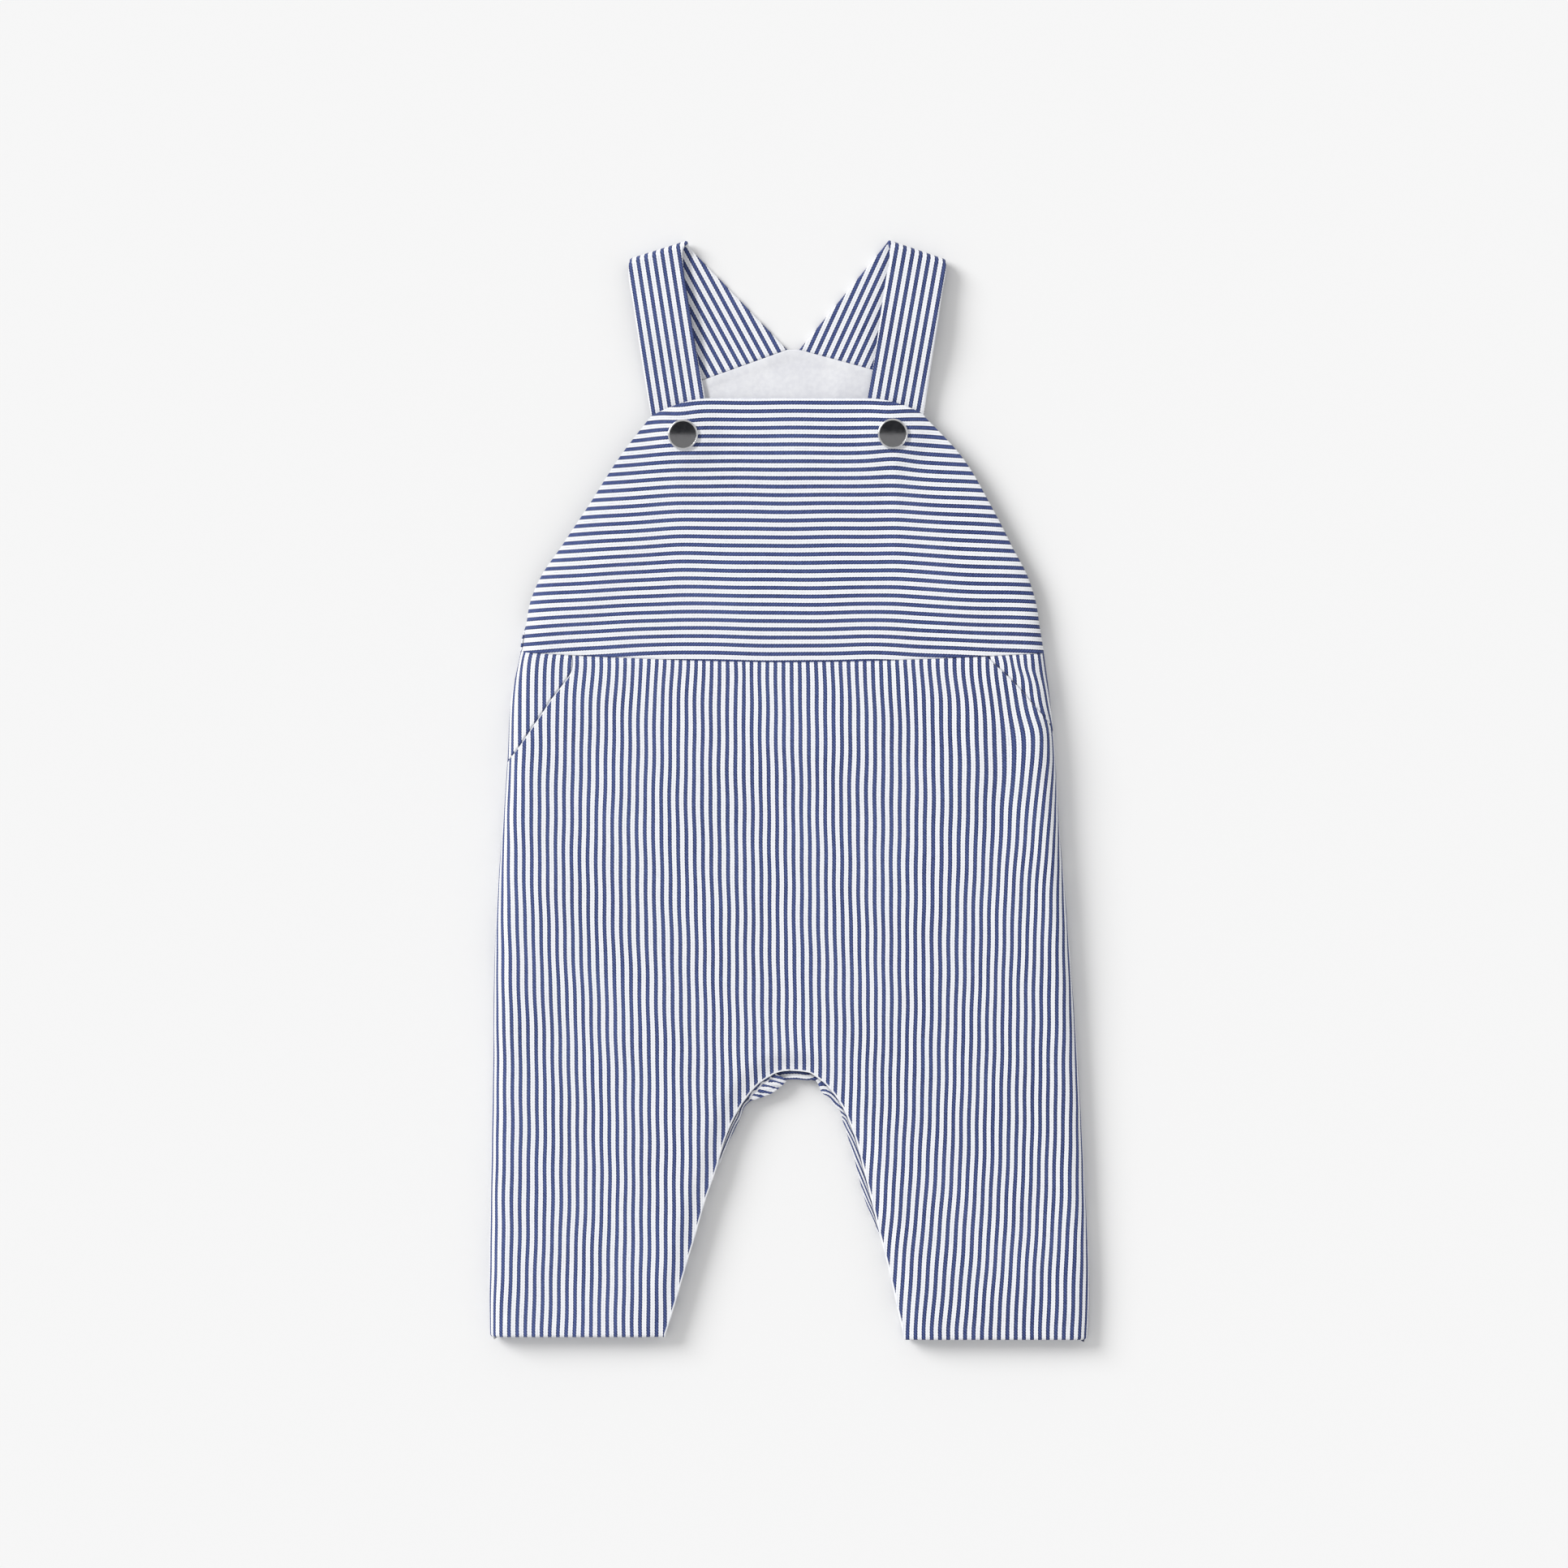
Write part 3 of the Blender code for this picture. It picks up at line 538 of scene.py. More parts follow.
PLACKET_WIDTH = 13.0
PLACKET_TOP = 4.0           # where it lies under the front, at least
PLACKET_STEP = 0.4          # how far it rises at most from under the front into the opening
RISE_FROM = 0.15            # distance outside the front's edge at which that starts
RISE_WIDTH = 0.5
PLACKET_COURSE = (
    # x and y of its outer edge, stripes passed there and a millimetre inwards, height outside
    (-62.6, -269.8, 0.0, 0.30, 4.0), (-60.6, -264.4, 0.0, 0.30, 4.0),
    (-52.9, -240.0, 0.0, 0.30, 4.0), (-45.7, -215.5, 0.0, 0.40, 4.0),
    (-42.3, -204.0, 0.5, 0.60, 4.2), (-38.0, -190.6, 0.5, 0.80, 5.0),
    (-34.8, -184.2, 0.40, 0.80, 5.6), (-29.7, -173.4, 0.1, 0.80, 5.6),
    (-26.0, -165.6, -0.2, 0.85, 5.6), (-24.0, -161.4, 0.1, 0.75, 5.6),
    (-22.0, -156.3, -0.1, 0.70, 5.0), (-17.0, -152.0, 0.0, 0.40, 4.0),
    (-11.0, -148.2, 0.0, 0.25, 4.0), (-5.5, -144.8, 0.0, 0.25, 4.0),
    (-2.5, -143.3, -0.1, 0.25, 4.1), (0.0, -142.9, 0.0, 0.25, 4.6),
    (3.0, -142.8, 0.0, 0.25, 5.0), (9.7, -143.2, 0.0, 0.24, 5.0),
    (12.6, -143.0, -0.2, 0.17, 5.0), (13.7, -144.3, -0.55, 0.08, 5.0),
    (14.6, -146.1, -1.15, 0.08, 5.1), (15.3, -147.9, -1.75, 0.20, 5.2),
    (16.0, -149.2, -2.50, 0.32, 5.3), (16.9, -150.1, -3.0, 0.43, 5.4),
    (18.7, -150.9, -3.2, 0.50, 5.4), (22.3, -155.9, -3.7, 0.45, 5.4),
    (25.2, -158.6, -4.0, 0.45, 5.4), (26.0, -160.9, -4.9, 0.55, 5.4),
    (26.3, -162.9, -5.9, 0.65, 5.4), (27.7, -167.3, -6.5, 0.70, 5.4),
    (29.0, -171.5, -7.1, 0.70, 5.4), (32.2, -182.3, -7.8, 0.60, 5.4),
    (34.7, -192.5, -8.9, 0.65, 5.4), (37.3, -202.1, -10.0, 0.80, 5.4),
    (40.5, -210.4, -10.5, 0.90, 5.4), (43.6, -217.4, -10.5, 1.00, 5.2),
    (46.4, -224.4, -10.5, 0.60, 4.4), (49.4, -234.6, -10.5, 0.30, 4.0),
    (55.8, -264.8, -10.5, 0.30, 4.0), (57.2, -271.2, -10.5, 0.30, 4.0),
)
PLACKET_ROWS = 360
PLACKET_SHOWN = (0.4, 28)   # share of the width that can show, and its columns
PLACKET_HIDDEN = (0.5, 0.65, 0.85, 0.95, 0.99, 1.0)     # shares of the other columns
CALM_ROUNDS = 120           # of smoothing, for the line that its width is laid off from
PUCKER_WALL = 0.8
PUCKER = (
    # share along, then x and y of its hidden edge and of its free edge
    (0.00, -2.2, -142.2, -1.6, -143.4),
    (0.12, -5.0, -140.8, -2.8, -144.8),
    (0.28, -8.0, -139.4, -5.4, -147.4),
    (0.45, -11.0, -140.9, -8.4, -149.4),
    (0.68, -15.0, -143.6, -13.0, -151.4),
    (0.86, -18.0, -146.8, -16.6, -152.4),
    (1.00, -20.8, -149.6, -19.6, -153.2),
)
PUCKER_GRID = (120, 60)
PUCKER_LOW = PLACKET_TOP + PUCKER_WALL + 0.15
PUCKER_HIGH = 5.9
PUCKER_DROOP = 0.9          # at its free edge
PUCKER_STRIPES = (2.8, -7.7, -143.9, -0.20)     # repeat, then x, y and slope of one stripe
PUCKER_STRIPE_PULL = 0.35   # how far a fold shifts them, a millimetre of its height
PUCKER_ROLL_X = -9.5        # left of this it shows its rolled side: a blue, then a white line
PUCKER_ROLL_BLUE = 0.85
PUCKER_ROLL_WHITE = 1.25
PUCKER_ROLL_WAVE = (0.25, 1.3)                  # height of the rolled side's waves, and their pace
PUCKER_FOLDS = (
    # x, y, half length, half width, height, degrees from the X axis
    (-7.0, -144.8, 3.0, 0.7, 0.7, -20.0),
    (-5.6, -146.6, 2.2, 0.5, -0.6, 20.0),
    (-10.0, -147.4, 4.0, 0.8, 0.5, -25.0),
    (-8.6, -143.0, 3.5, 0.8, -0.5, -10.0),
    (-14.0, -149.6, 4.0, 0.7, -0.5, -30.0),
    (-17.5, -151.2, 3.0, 0.8, 0.4, -35.0),
)
PUCKER_FOLD_REACH = 0.8     # the folds grow over this distance from the front's edge


def bumps(table, x, y):
    """Sum of a table's soft ridges and dents, each a Gaussian drawn out along its direction."""
    height = np.zeros_like(x)
    for fold_x, fold_y, length, width, rise, degrees in table:
        turn = math.radians(degrees)
        along = (x - fold_x) * math.cos(turn) + (y - fold_y) * math.sin(turn)
        across = (y - fold_y) * math.cos(turn) - (x - fold_x) * math.sin(turn)
        height += rise * np.exp(-(along / length) ** 2 - (across / width) ** 2)
    return height


def risen(low, high, x, y):
    """Height of cloth that passes under the front's edge: low under it, high in the opening,
    with a narrow gap between."""
    return low + (high - low) * eased((-crotch_distance(x, y) - RISE_FROM) / RISE_WIDTH)


def placket_grid():
    """Strip between its outer edge and a calmer line inside it; U counts stripes from the
    course's own and V is the length along the edge."""
    course = np.array(PLACKET_COURSE)
    length = np.append(0.0, np.cumsum(np.linalg.norm(np.diff(course[:, :2], axis=0), axis=1)))
    along = np.linspace(0.0, length[-1], PLACKET_ROWS)
    edge_x, edge_y, count, slope, high = [cubic(length, column, along) for column in course.T]
    edge = np.stack([edge_x, edge_y], axis=-1)
    calm = edge.copy()
    for _ in range(CALM_ROUNDS):
        calm[1:-1] = (calm[:-2] + 2 * calm[1:-1] + calm[2:]) / 4
    course_way = np.gradient(calm, axis=0)
    course_way /= np.linalg.norm(course_way, axis=1, keepdims=True)
    outward = np.stack([-course_way[:, 1], course_way[:, 0]], axis=-1)
    inner = calm + outward * PLACKET_WIDTH
    inner[0, 1] = HEM_Y["left"]
    inner[-1, 1] = HEM_Y["right"]
    share = np.append(np.linspace(0.0, *PLACKET_SHOWN), PLACKET_HIDDEN)
    plan = edge[:, None, :] * (1 - share[:, None]) + inner[:, None, :] * share[:, None]
    x, y = plan[..., 0], plan[..., 1]
    high = high[:, None]
    z = risen(np.maximum(PLACKET_TOP, high - PLACKET_STEP), high, x, y)
    stripes = count[:, None] + slope[:, None] * share * PLACKET_WIDTH
    return grid_of(x, y, z, stripes, along[:, None])


def pucker_grid():
    """The pucker: straight lines between its hidden and its free edge, with sharp small folds."""
    table = np.array(PUCKER)
    along = np.linspace(0.0, 1.0, PUCKER_GRID[0])
    hidden_x, hidden_y, free_x, free_y = [cubic(table[:, 0], column, along)[:, None]
                                          for column in table.T[1:]]
    share = np.linspace(0.0, 1.0, PUCKER_GRID[1])
    x = hidden_x + (free_x - hidden_x) * share
    y = hidden_y + (free_y - hidden_y) * share
    repeat, stripe_x, stripe_y, slope = PUCKER_STRIPES
    folds = bumps(PUCKER_FOLDS, x, y)
    stripes = (stripe_y + slope * (x - stripe_x) - y + PUCKER_STRIPE_PULL * folds) / repeat
    wave, pace = PUCKER_ROLL_WAVE
    past = -crotch_distance(x, y) + wave * np.sin(pace * x)
    z = risen(PUCKER_LOW, PUCKER_HIGH, x, y) - PUCKER_DROOP * share ** 2
    z = np.maximum(z + folds * eased(past / PUCKER_FOLD_REACH), PUCKER_LOW)
    rolled = x < PUCKER_ROLL_X
    stripes = np.where(rolled & (past < PUCKER_ROLL_BLUE), np.round(stripes), stripes)
    edge = np.where(rolled, np.abs(past - PUCKER_ROLL_WHITE), EDGE_FAR)
    return grid_of(x, y, z, stripes, x, edge)[:, ::-1]


placket = cloth_piece("inseam_placket_cloth", [placket_grid()], TWILL_WALL)
pucker = cloth_piece("inseam_pucker_cloth", [pucker_grid()], PUCKER_WALL)
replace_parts(placket, "inseam_placket")

# ---- Front of the trousers -------------------------------------------------------------------
# One piece of the twill for both legs, as its stripes run on unbroken at the middle.  It is
# sewn to the back at the sides, slants away at the pocket mouths and is turned up at the hems.

GAP = 0.3                   # between pieces that are sewn together
FRONT_CORNER = 9.0          # width over which the front rounds down to a side seam
INSEAM_HEIGHT = 8.4         # skin of the front at its inner leg edges
CROTCH_CORNER = 11.0        # width over which it rounds down to them
FRONT_BODY_ROWS = 170
FRONT_LEG_ROWS = 100
FRONT_COLUMNS = 62
POCKET_MOUTHS = {
    # level, how far in from the side seam the mouth lies
    "left": ((69.0, 25.0), (66.0, 26.4), (60.3, 27.0), (51.6, 23.4), (45.7, 20.0), (39.3, 16.7),
             (32.9, 12.8), (26.7, 9.0), (21.8, 5.8), (19.0, 3.9), (16.6, 2.1), (14.8, 0.9),
             (13.4, 0.2), (12.0, 0.0)),
    "right": ((69.0, 28.6), (66.2, 27.0), (57.9, 19.8), (49.9, 13.5), (41.9, 8.0), (37.3, 4.3),
              (33.5, 1.8), (31.0, 0.7), (29.0, 0.2), (27.0, 0.0)),
}
POCKET_END = {"left": 12.0, "right": 27.0}
POCKET_EDGE_HIGHLIGHT = {"left": 1.0, "right": 3.0}      # how soon the mouth's white turned edge ends; the left mouth keeps a wider band, a painted highlight where its edge faces the lamp
CROTCH_WHITE = 0.5
STRIPE_PLACES = np.array([-140.0, -97.0, -49.0, 0.0, 49.0, 97.0, 117.0, 135.0])
STRIPE_DRIFT = (
    # y, then how far the cloth has moved to the right at each of the places above
    (62.0, 5.1, 5.0, 2.9, 1.0, 0.4, 0.0, -1.0, -2.0),
    (59.0, 4.9, 4.8, 2.8, 1.0, 0.6, 0.2, -0.5, -1.2),
    (44.0, 3.3, 3.6, 2.2, 1.3, 1.3, 2.3, 2.4, 2.3),
    (23.0, 3.3, 3.3, 2.0, 1.5, 1.8, 3.6, 5.8, 6.4),
    (-10.0, 3.0, 2.5, 1.8, 2.0, 1.5, 3.1, 3.4, 2.3),
    (-51.0, 3.9, 2.3, 2.6, 2.2, 1.4, 1.4, 0.3, -1.5),
    (-99.0, 5.0, 3.4, 3.4, 2.7, 1.7, 0.4, -1.2, -2.3),
    (-147.0, 5.9, 4.6, 3.9, 3.5, 1.0, -0.7, -1.7, -3.0),
    (-195.0, 5.4, 5.2, 4.1, 3.1, -1.1, -1.9, -2.7, -3.9),
    (-243.0, 4.8, 4.0, 3.6, 2.6, -4.8, -4.8, -5.2, -6.0),
    (-266.0, 3.8, 3.7, 3.5, 2.4, -6.1, -6.5, -6.3, -6.7),
)
STRIPE_KINKS = (
    # x, y, half length, half width, shift to the right, degrees from the X axis
    (-25.0, 57.0, 7.0, 5.0, 0.5, 90.0),
    (23.0, 47.0, 22.0, 13.0, 0.4, 90.0),
    (71.0, 32.0, 40.0, 13.0, -0.45, 90.0),
    (104.0, 23.0, 16.0, 8.0, -0.5, 75.0),
    (125.0, 29.5, 6.5, 9.0, 0.85, 90.0),
    (-20.0, 0.0, 60.0, 13.0, 0.35, 90.0),
    (26.0, -5.0, 26.0, 12.0, -0.45, 90.0),
    (-112.0, -125.0, 40.0, 16.0, 0.35, 90.0),
    (-24.0, -105.0, 24.0, 13.0, -0.45, 90.0),
    (30.0, -108.0, 30.0, 14.0, 0.5, 90.0),
    (66.0, -78.0, 26.0, 12.0, -0.35, 90.0),
    (-73.0, -190.0, 24.0, 14.0, -0.5, 90.0),
    (72.0, -165.0, 26.0, 12.0, 0.4, 90.0),
)
STRIPE_WANDER = 0.09        # how far the stripes wave to and fro
STRIPE_WAVES = (
    # length across and along the stripes, phase
    (8.0, 4.3, 0.0),
    (-13.0, 7.7, 1.0),
)
WAIST_TUCK = (
    # y from the waist seam, dip
    (-3.0, 0.0), (-2.0, 0.05), (-1.0, 0.35), (0.0, 0.95), (0.7, 1.45), (1.4, 1.75),
)
FRONT_FOLDS = (
    # x, y, half length, half width, height, degrees from the X axis
    (117.0, 12.0, 26.0, 8.0, 0.9, 68.0),
    (104.0, -14.0, 30.0, 9.0, -0.9, 74.0),
    (92.0, 20.0, 30.0, 9.0, 0.6, 80.0),
    (-134.0, -44.0, 14.0, 8.0, -0.8, 100.0),
    (46.0, -150.0, 46.0, 12.0, 0.7, -38.0),
    (-141.0, -259.0, 3.0, 1.4, -1.0, 75.0),
    (138.2, -263.5, 3.0, 1.4, -1.0, 95.0),
)


def loft(level):
    """Height of the trousers' top at a level."""
    return from_table(TROUSER_LEVELS, 3, level)


def waves(table, x, y):
    """Sum of sine waves, each with its own length along x and along y."""
    return sum(np.sin(x / x_length + y / y_length + phase) for x_length, y_length, phase in table)


def front_height(rise, x, y):
    """Height of the front's skin: up from the side seam with the corner's rise, down again to
    the inner legs and the crotch over their own corner, and under the bib's edge at the waist."""
    top = loft(y)
    seam = SEAM_HEIGHT + GAP
    height = seam + (top - seam) * rise
    height -= (top - INSEAM_HEIGHT) * (1 - eased(crotch_distance(x, y) / CROTCH_CORNER))
    height += bumps(FRONT_FOLDS, x, y) * rise
    return height - from_table(WAIST_TUCK, 1, y - waist_line(x))


def mouth_run(level, side):
    """Run of cloth from the side seam to the pocket mouth, 0 below its lower end."""
    plan = from_table(POCKET_MOUTHS[side], 1, level)
    plan = np.where(level < POCKET_END[side], 0.0, np.maximum(plan, 0.0))
    return run_of(plan, FRONT_CORNER)


def stripe_count(place, y):
    """Stripes from the middle: the cloth's own place across, less how far the cloth has
    drifted and is kinked there."""
    rows = np.array(STRIPE_DRIFT)[::-1]
    drift = np.stack([cubic(rows[:, 0], column, y) for column in rows.T[1:]], axis=-1)
    shift = cubic(STRIPE_PLACES, drift, place) + bumps(STRIPE_KINKS, place, y)
    shift += STRIPE_WANDER * waves(STRIPE_WAVES, place, y)
    return (place - shift) / STRIPE


def front_half(side):
    """Outer skin of half the front: runs of cloth from the side seam or pocket mouth to the
    middle line or inner leg."""
    level = trouser_levels(CROTCH_Y, side, FRONT_BODY_ROWS, FRONT_LEG_ROWS)
    start = mouth_run(level, side)
    inner = np.abs(crotch_edge(FRONT_CROTCH, 0.0, level, side) - side_x(level, side))
    run = fine_ends(run_of(inner, FRONT_CORNER) - start, FRONT_COLUMNS) + start[:, None]
    x, y, _, rise = from_seam(level, side, run, FRONT_CORNER)
    z = front_height(rise, x, y)
    # Painted highlight: the mouth's turned edge shows white, in a wider band on the left mouth,
    # whose edge faces the lamp
    from_mouth = (run - start[:, None]) * POCKET_EDGE_HIGHLIGHT[side]
    edge = np.where(start[:, None] > 0, from_mouth, EDGE_FAR)
    edge = np.minimum(edge, CROTCH_WHITE * np.abs(crotch_distance(x, y)))
    stripes = stripe_count(unrolled(level, side, run, FRONT_CORNER), y)
    skin = grid_of(x, y, z, stripes, y, edge)
    return with_hem(skin if side == "left" else skin[:, ::-1], side)


front_halves = [front_half(side) for side in SIDES]
trouser_front = cloth_piece("trouser_front_cloth", front_halves, TWILL_WALL)
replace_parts(trouser_front, "trouser_front")

# ---- Hip pieces ------------------------------------------------------------------------------
# Behind each slanted pocket mouth a separate piece of the twill fills the corner between the
# waist and the side seam.  The front's turned edge lies on it.

POCKET_ROWS_END = {"left": 9.0, "right": 22.0}
POCKET_LAP = 11.0           # the hip piece runs on this far under the front
POCKET_DIP = 1.1            # width over which it dips to pass under the mouth
POCKET_TUCK = 1.6           # how far its side moves in under the mouth's lower end
POCKET_TUCK_REACH = 3.0
POCKET_CLEARANCE = 0.10
POCKET_CLEARANCE_GROWS = 4.0                    # towards the mouth's lower end
HIP_ROWS = 80
HIP_COLUMNS = (24, 18, 12)  # that show, at the mouth and under the front
HIP_FINE_FROM = 1.6         # the columns at the mouth start this far outside it
HIP_FINE = 2.2              # and are this wide in all
HIP_LEAST = 0.4
HIP_WIDENS = 12.0           # it widens over this height from its lower end,
HIP_POINT = 0.35            # where this share has been reached
HIP_STRIPES = {
    # repeat, X of a stripe, lean to the right a millimetre down and its growth, pull at the waist
    "left": (4.02, -132.75, 0.0, 0.0, 1.9),
    "right": (3.60, 123.1, 0.115, 0.0022, 0.0),
}
HIP_KINKS = (
    # x, y, half length, half width, shift to the right, degrees from the X axis
    (114.5, 55.0, 12.0, 3.6, 0.70, -35.0),
    (119.5, 59.5, 5.0, 2.5, -0.35, -35.0),
    (106.5, 63.0, 4.0, 4.0, 0.50, 0.0),
    (129.0, 32.0, 6.0, 5.0, 0.70, 90.0),
)
HIP_PULL_REACH = 5.0
HIP_PULL_FADE = 0.02        # of the pull at the waist, a millimetre in from the side
HIP_CROWD = 0.6             # stripes more, crowded into the last millimetres before the seam
HIP_CROWD_REACH = 3.2


def hip_skin(side):
    """Outer skin of a hip piece: the front's own form, moved in by the front's wall where it
    passes under the pocket mouth."""
    level = TROUSER_TOP_Y - fine_ends(TROUSER_TOP_Y - POCKET_ROWS_END[side], HIP_ROWS)
    mouth = mouth_run(level, side)
    start = POCKET_TUCK * eased(1 - mouth / POCKET_TUCK_REACH)
    end = mouth + POCKET_LAP * eased((level - level[-1]) / HIP_WIDENS + HIP_POINT)
    outer = np.maximum(mouth - HIP_FINE_FROM, start + HIP_LEAST)
    inner = np.minimum(outer + HIP_FINE, end - HIP_LEAST)
    parts = [first[:, None] + (last - first)[:, None] * np.linspace(0.0, 1.0, count)
             for first, last, count in zip((start, outer, inner), (outer, inner, end), HIP_COLUMNS)]
    run = np.concatenate([parts[0], parts[1][:, 1:], parts[2][:, 1:]], axis=1)
    x, y, plan, rise = from_seam(level, side, run, FRONT_CORNER)
    repeat, place, lean, growth, pull = HIP_STRIPES[side]
    down = SIDE_WAIST_Y - y
    shift = lean * down + growth * down ** 2 + bumps(HIP_KINKS, x, y)
    shift += pull * (1 - HIP_PULL_FADE * plan) * np.exp(-down / HIP_PULL_REACH)
    crowd = np.maximum(1 - plan / HIP_CROWD_REACH, 0.0) ** 2
    stripes = (x - place - shift) / repeat + SIDES[side] * HIP_CROWD * crowd
    skin = grid_of(x, y, front_height(rise, x, y), stripes, y)
    mouth = mouth[:, None]
    clearance = POCKET_CLEARANCE * (1 + POCKET_CLEARANCE_GROWS * eased(1 - mouth / POCKET_LAP))
    below = (TWILL_WALL + clearance) * eased((run - mouth + POCKET_DIP) / POCKET_DIP)
    skin[..., :3] += SIDES[side] * grid_normals(skin) * below[..., None]
    return skin if side == "left" else skin[:, ::-1]


for side in SIDES:
    hip = cloth_piece("hip_" + side + "_cloth", [hip_skin(side)], TWILL_WALL)
    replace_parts(hip, "hip_" + side)

# ---- Bib -------------------------------------------------------------------------------------
# Two layers of the twill, cut with the stripes across, turned and closed at the armholes and
# the top.  It is sewn to the trousers at the waist and its top corners lie on the straps.

DOUBLE_WALL = 1.6
BIB_ARMHOLE = (
    # share of the height, y, left, right
    (0.00, 67.8, -131.9, 125.8),
    (0.10, 80.0, -130.1, 123.8),
    (0.22, 94.0, -127.6, 121.6),
    (0.33, 107.0, -122.0, 117.4),
    (0.45, 121.0, -112.6, 110.2),
    (0.60, 140.0, -99.6, 100.0),
    (0.80, 164.0, -84.0, 85.6),
    (1.00, 185.4, -67.4, 65.6),
)
BIB_GRID = (90, 62)         # rows, and columns from an armhole to the middle
ARMHOLE_CROWDING = 1.6      # power that crowds the columns towards the armholes
WAIST_FADE = 1.5            # power with which the waist's sag fades towards the top
TOP_FADE = 2.5              # power with which the top edge's form fades towards the waist
BIB_TOP_Y = 193.2
BIB_TOP_FLAT = 40.0
BIB_TOP_HALF = 66.5
BIB_TOP_ROUND = 1.8
BIB_CORNER_GROWS = 16.0     # how much wider its sides' rounding is at the top
BIB_EDGE_RISES = 1.6        # how soon its sides reach their height at the top
BIB_TOP_HEIGHT = 8.9
BIB_EDGE_HEIGHT = 8.3
BIB_STRIPE = 4.116
BIB_FIRST_STRIPE = 190.96
BIB_KNEES = {
    # x where the stripes start to droop, droop a millimetre at the top and at the waist
    "left": (-55.0, 0.085, 0.050),
    "right": (53.0, 0.055, 0.046),
}
KNEE_SOFT = 5.0
SNAPS = {"left": (-52.4, 175.2), "right": (51.0, 175.6)}
SNAP_RIDGE = 2.1            # how far the bib swells over a snap
SNAP_RIDGE_REACH = 16.0
BIB_SAGS = (
    # x, y, half length, half width, droop, degrees from the X axis
    (0.0, 100.0, 36.0, 36.0, 0.90, 0.0),
    (82.0, 97.0, 34.0, 30.0, 0.85, 0.0),
    (-72.0, 70.0, 34.0, 14.0, -0.70, 0.0),
    (-112.0, 92.0, 26.0, 24.0, -0.35, 0.0),
    (-54.0, 186.0, 8.0, 9.0, 1.15, 0.0),
    (-77.0, 177.0, 14.0, 15.0, 0.80, 0.0),
    (49.0, 187.0, 6.0, 10.0, 0.40, 0.0),
    (68.0, 182.0, 12.0, 14.0, -0.75, 0.0),
    (51.5, 164.0, 9.0, 10.0, -0.90, 0.0),
    (51.5, 120.0, 10.0, 34.0, -0.25, 0.0),
    (40.0, 66.0, 14.0, 12.0, -0.40, 0.0),
)
BIB_WANDER = 0.07           # how far the stripes wave up and down
BIB_WAVES = (
    # length along and across the stripes, phase
    (6.1, 17.0, 0.0),
    (10.3, -11.0, 2.0),
)
BIB_FOLDS = (
    # x, y, half length, half width, height, degrees from the X axis
    (52.5, 150.0, 26.0, 3.0, 0.55, 90.0),
    (-54.0, 150.0, 24.0, 4.0, 0.35, 90.0),
    (0.0, 100.0, 60.0, 22.0, -0.5, 0.0),
    (88.0, 95.0, 30.0, 8.0, 0.5, 118.0),
    (-96.0, 100.0, 30.0, 9.0, 0.5, 58.0),
    (96.0, 80.0, 26.0, 7.0, -0.4, 35.0),
)
BIB_FOLDS_FROM = 20.0       # the folds grow over this distance from the waist seam


def armhole_skin(armhole, top_line, corner_width, edge_height, top_height, size):
    """Grid between the waist seam, two armholes and a top edge, with stripes across.

    armhole is a table of outline points and top_line gives the top edge's y for an x.  The
    corner's width and the heights are numbers or functions of the share of the way up.
    """
    height = armhole[-1][1] - armhole[0][1]
    share = 1 - fine_ends(height, size[0]) / height
    width, edge, top = [value(share) if callable(value) else np.full_like(share, value)
                        for value in (corner_width, edge_height, top_height)]
    y_side, left, right = [from_table(armhole, column, share) for column in (1, 2, 3)]
    half_run = run_of((right - left) / 2, width)
    run = half_run[:, None] * np.linspace(0.0, 1.0, size[1]) ** ARMHOLE_CROWDING
    plan, rise = corner(run, width[:, None])
    x = np.concatenate([left[:, None] + plan, (right[:, None] - plan)[:, -2::-1]], axis=1)
    rise = np.concatenate([rise, rise[:, -2::-1]], axis=1)
    along = half_run[:, None] - run
    along = np.concatenate([-along, along[:, -2::-1]], axis=1)
    share = share[:, None]
    y = y_side[:, None] + (waist_line(x) - y_side[-1]) * (1 - share) ** WAIST_FADE
    y += (top_line(x) - y_side[0]) * eased(share) ** TOP_FADE
    z = edge[:, None] + (top - edge)[:, None] * rise
    return grid_of(x, y, z, (BIB_FIRST_STRIPE - y) / BIB_STRIPE, along)


def bib_top_line(x):
    """Top edge of the bib: straight, rounding down to the corners."""
    past = np.clip((np.abs(x) - BIB_TOP_FLAT) / (BIB_TOP_HALF - BIB_TOP_FLAT), 0.0, 1.0)
    return BIB_TOP_Y - (BIB_TOP_Y - BIB_ARMHOLE[-1][1]) * past ** BIB_TOP_ROUND


def bib_droop(x, y):
    """How far the bib's stripes hang below level: nothing between the knees, straight beyond
    them and rounded at each, less at the waist than at the top, and the sags on top."""
    up = np.clip((y - WAIST_Y) / (BIB_TOP_Y - WAIST_Y), 0.0, 1.0)
    droop = bumps(BIB_SAGS, x, y) + BIB_WANDER * waves(BIB_WAVES, x, y)
    for side, (knee, top, waist) in BIB_KNEES.items():
        past = SIDES[side] * (x - knee)
        droop += (waist + (top - waist) * up) * (past + np.hypot(past, KNEE_SOFT)) / 2
    return droop


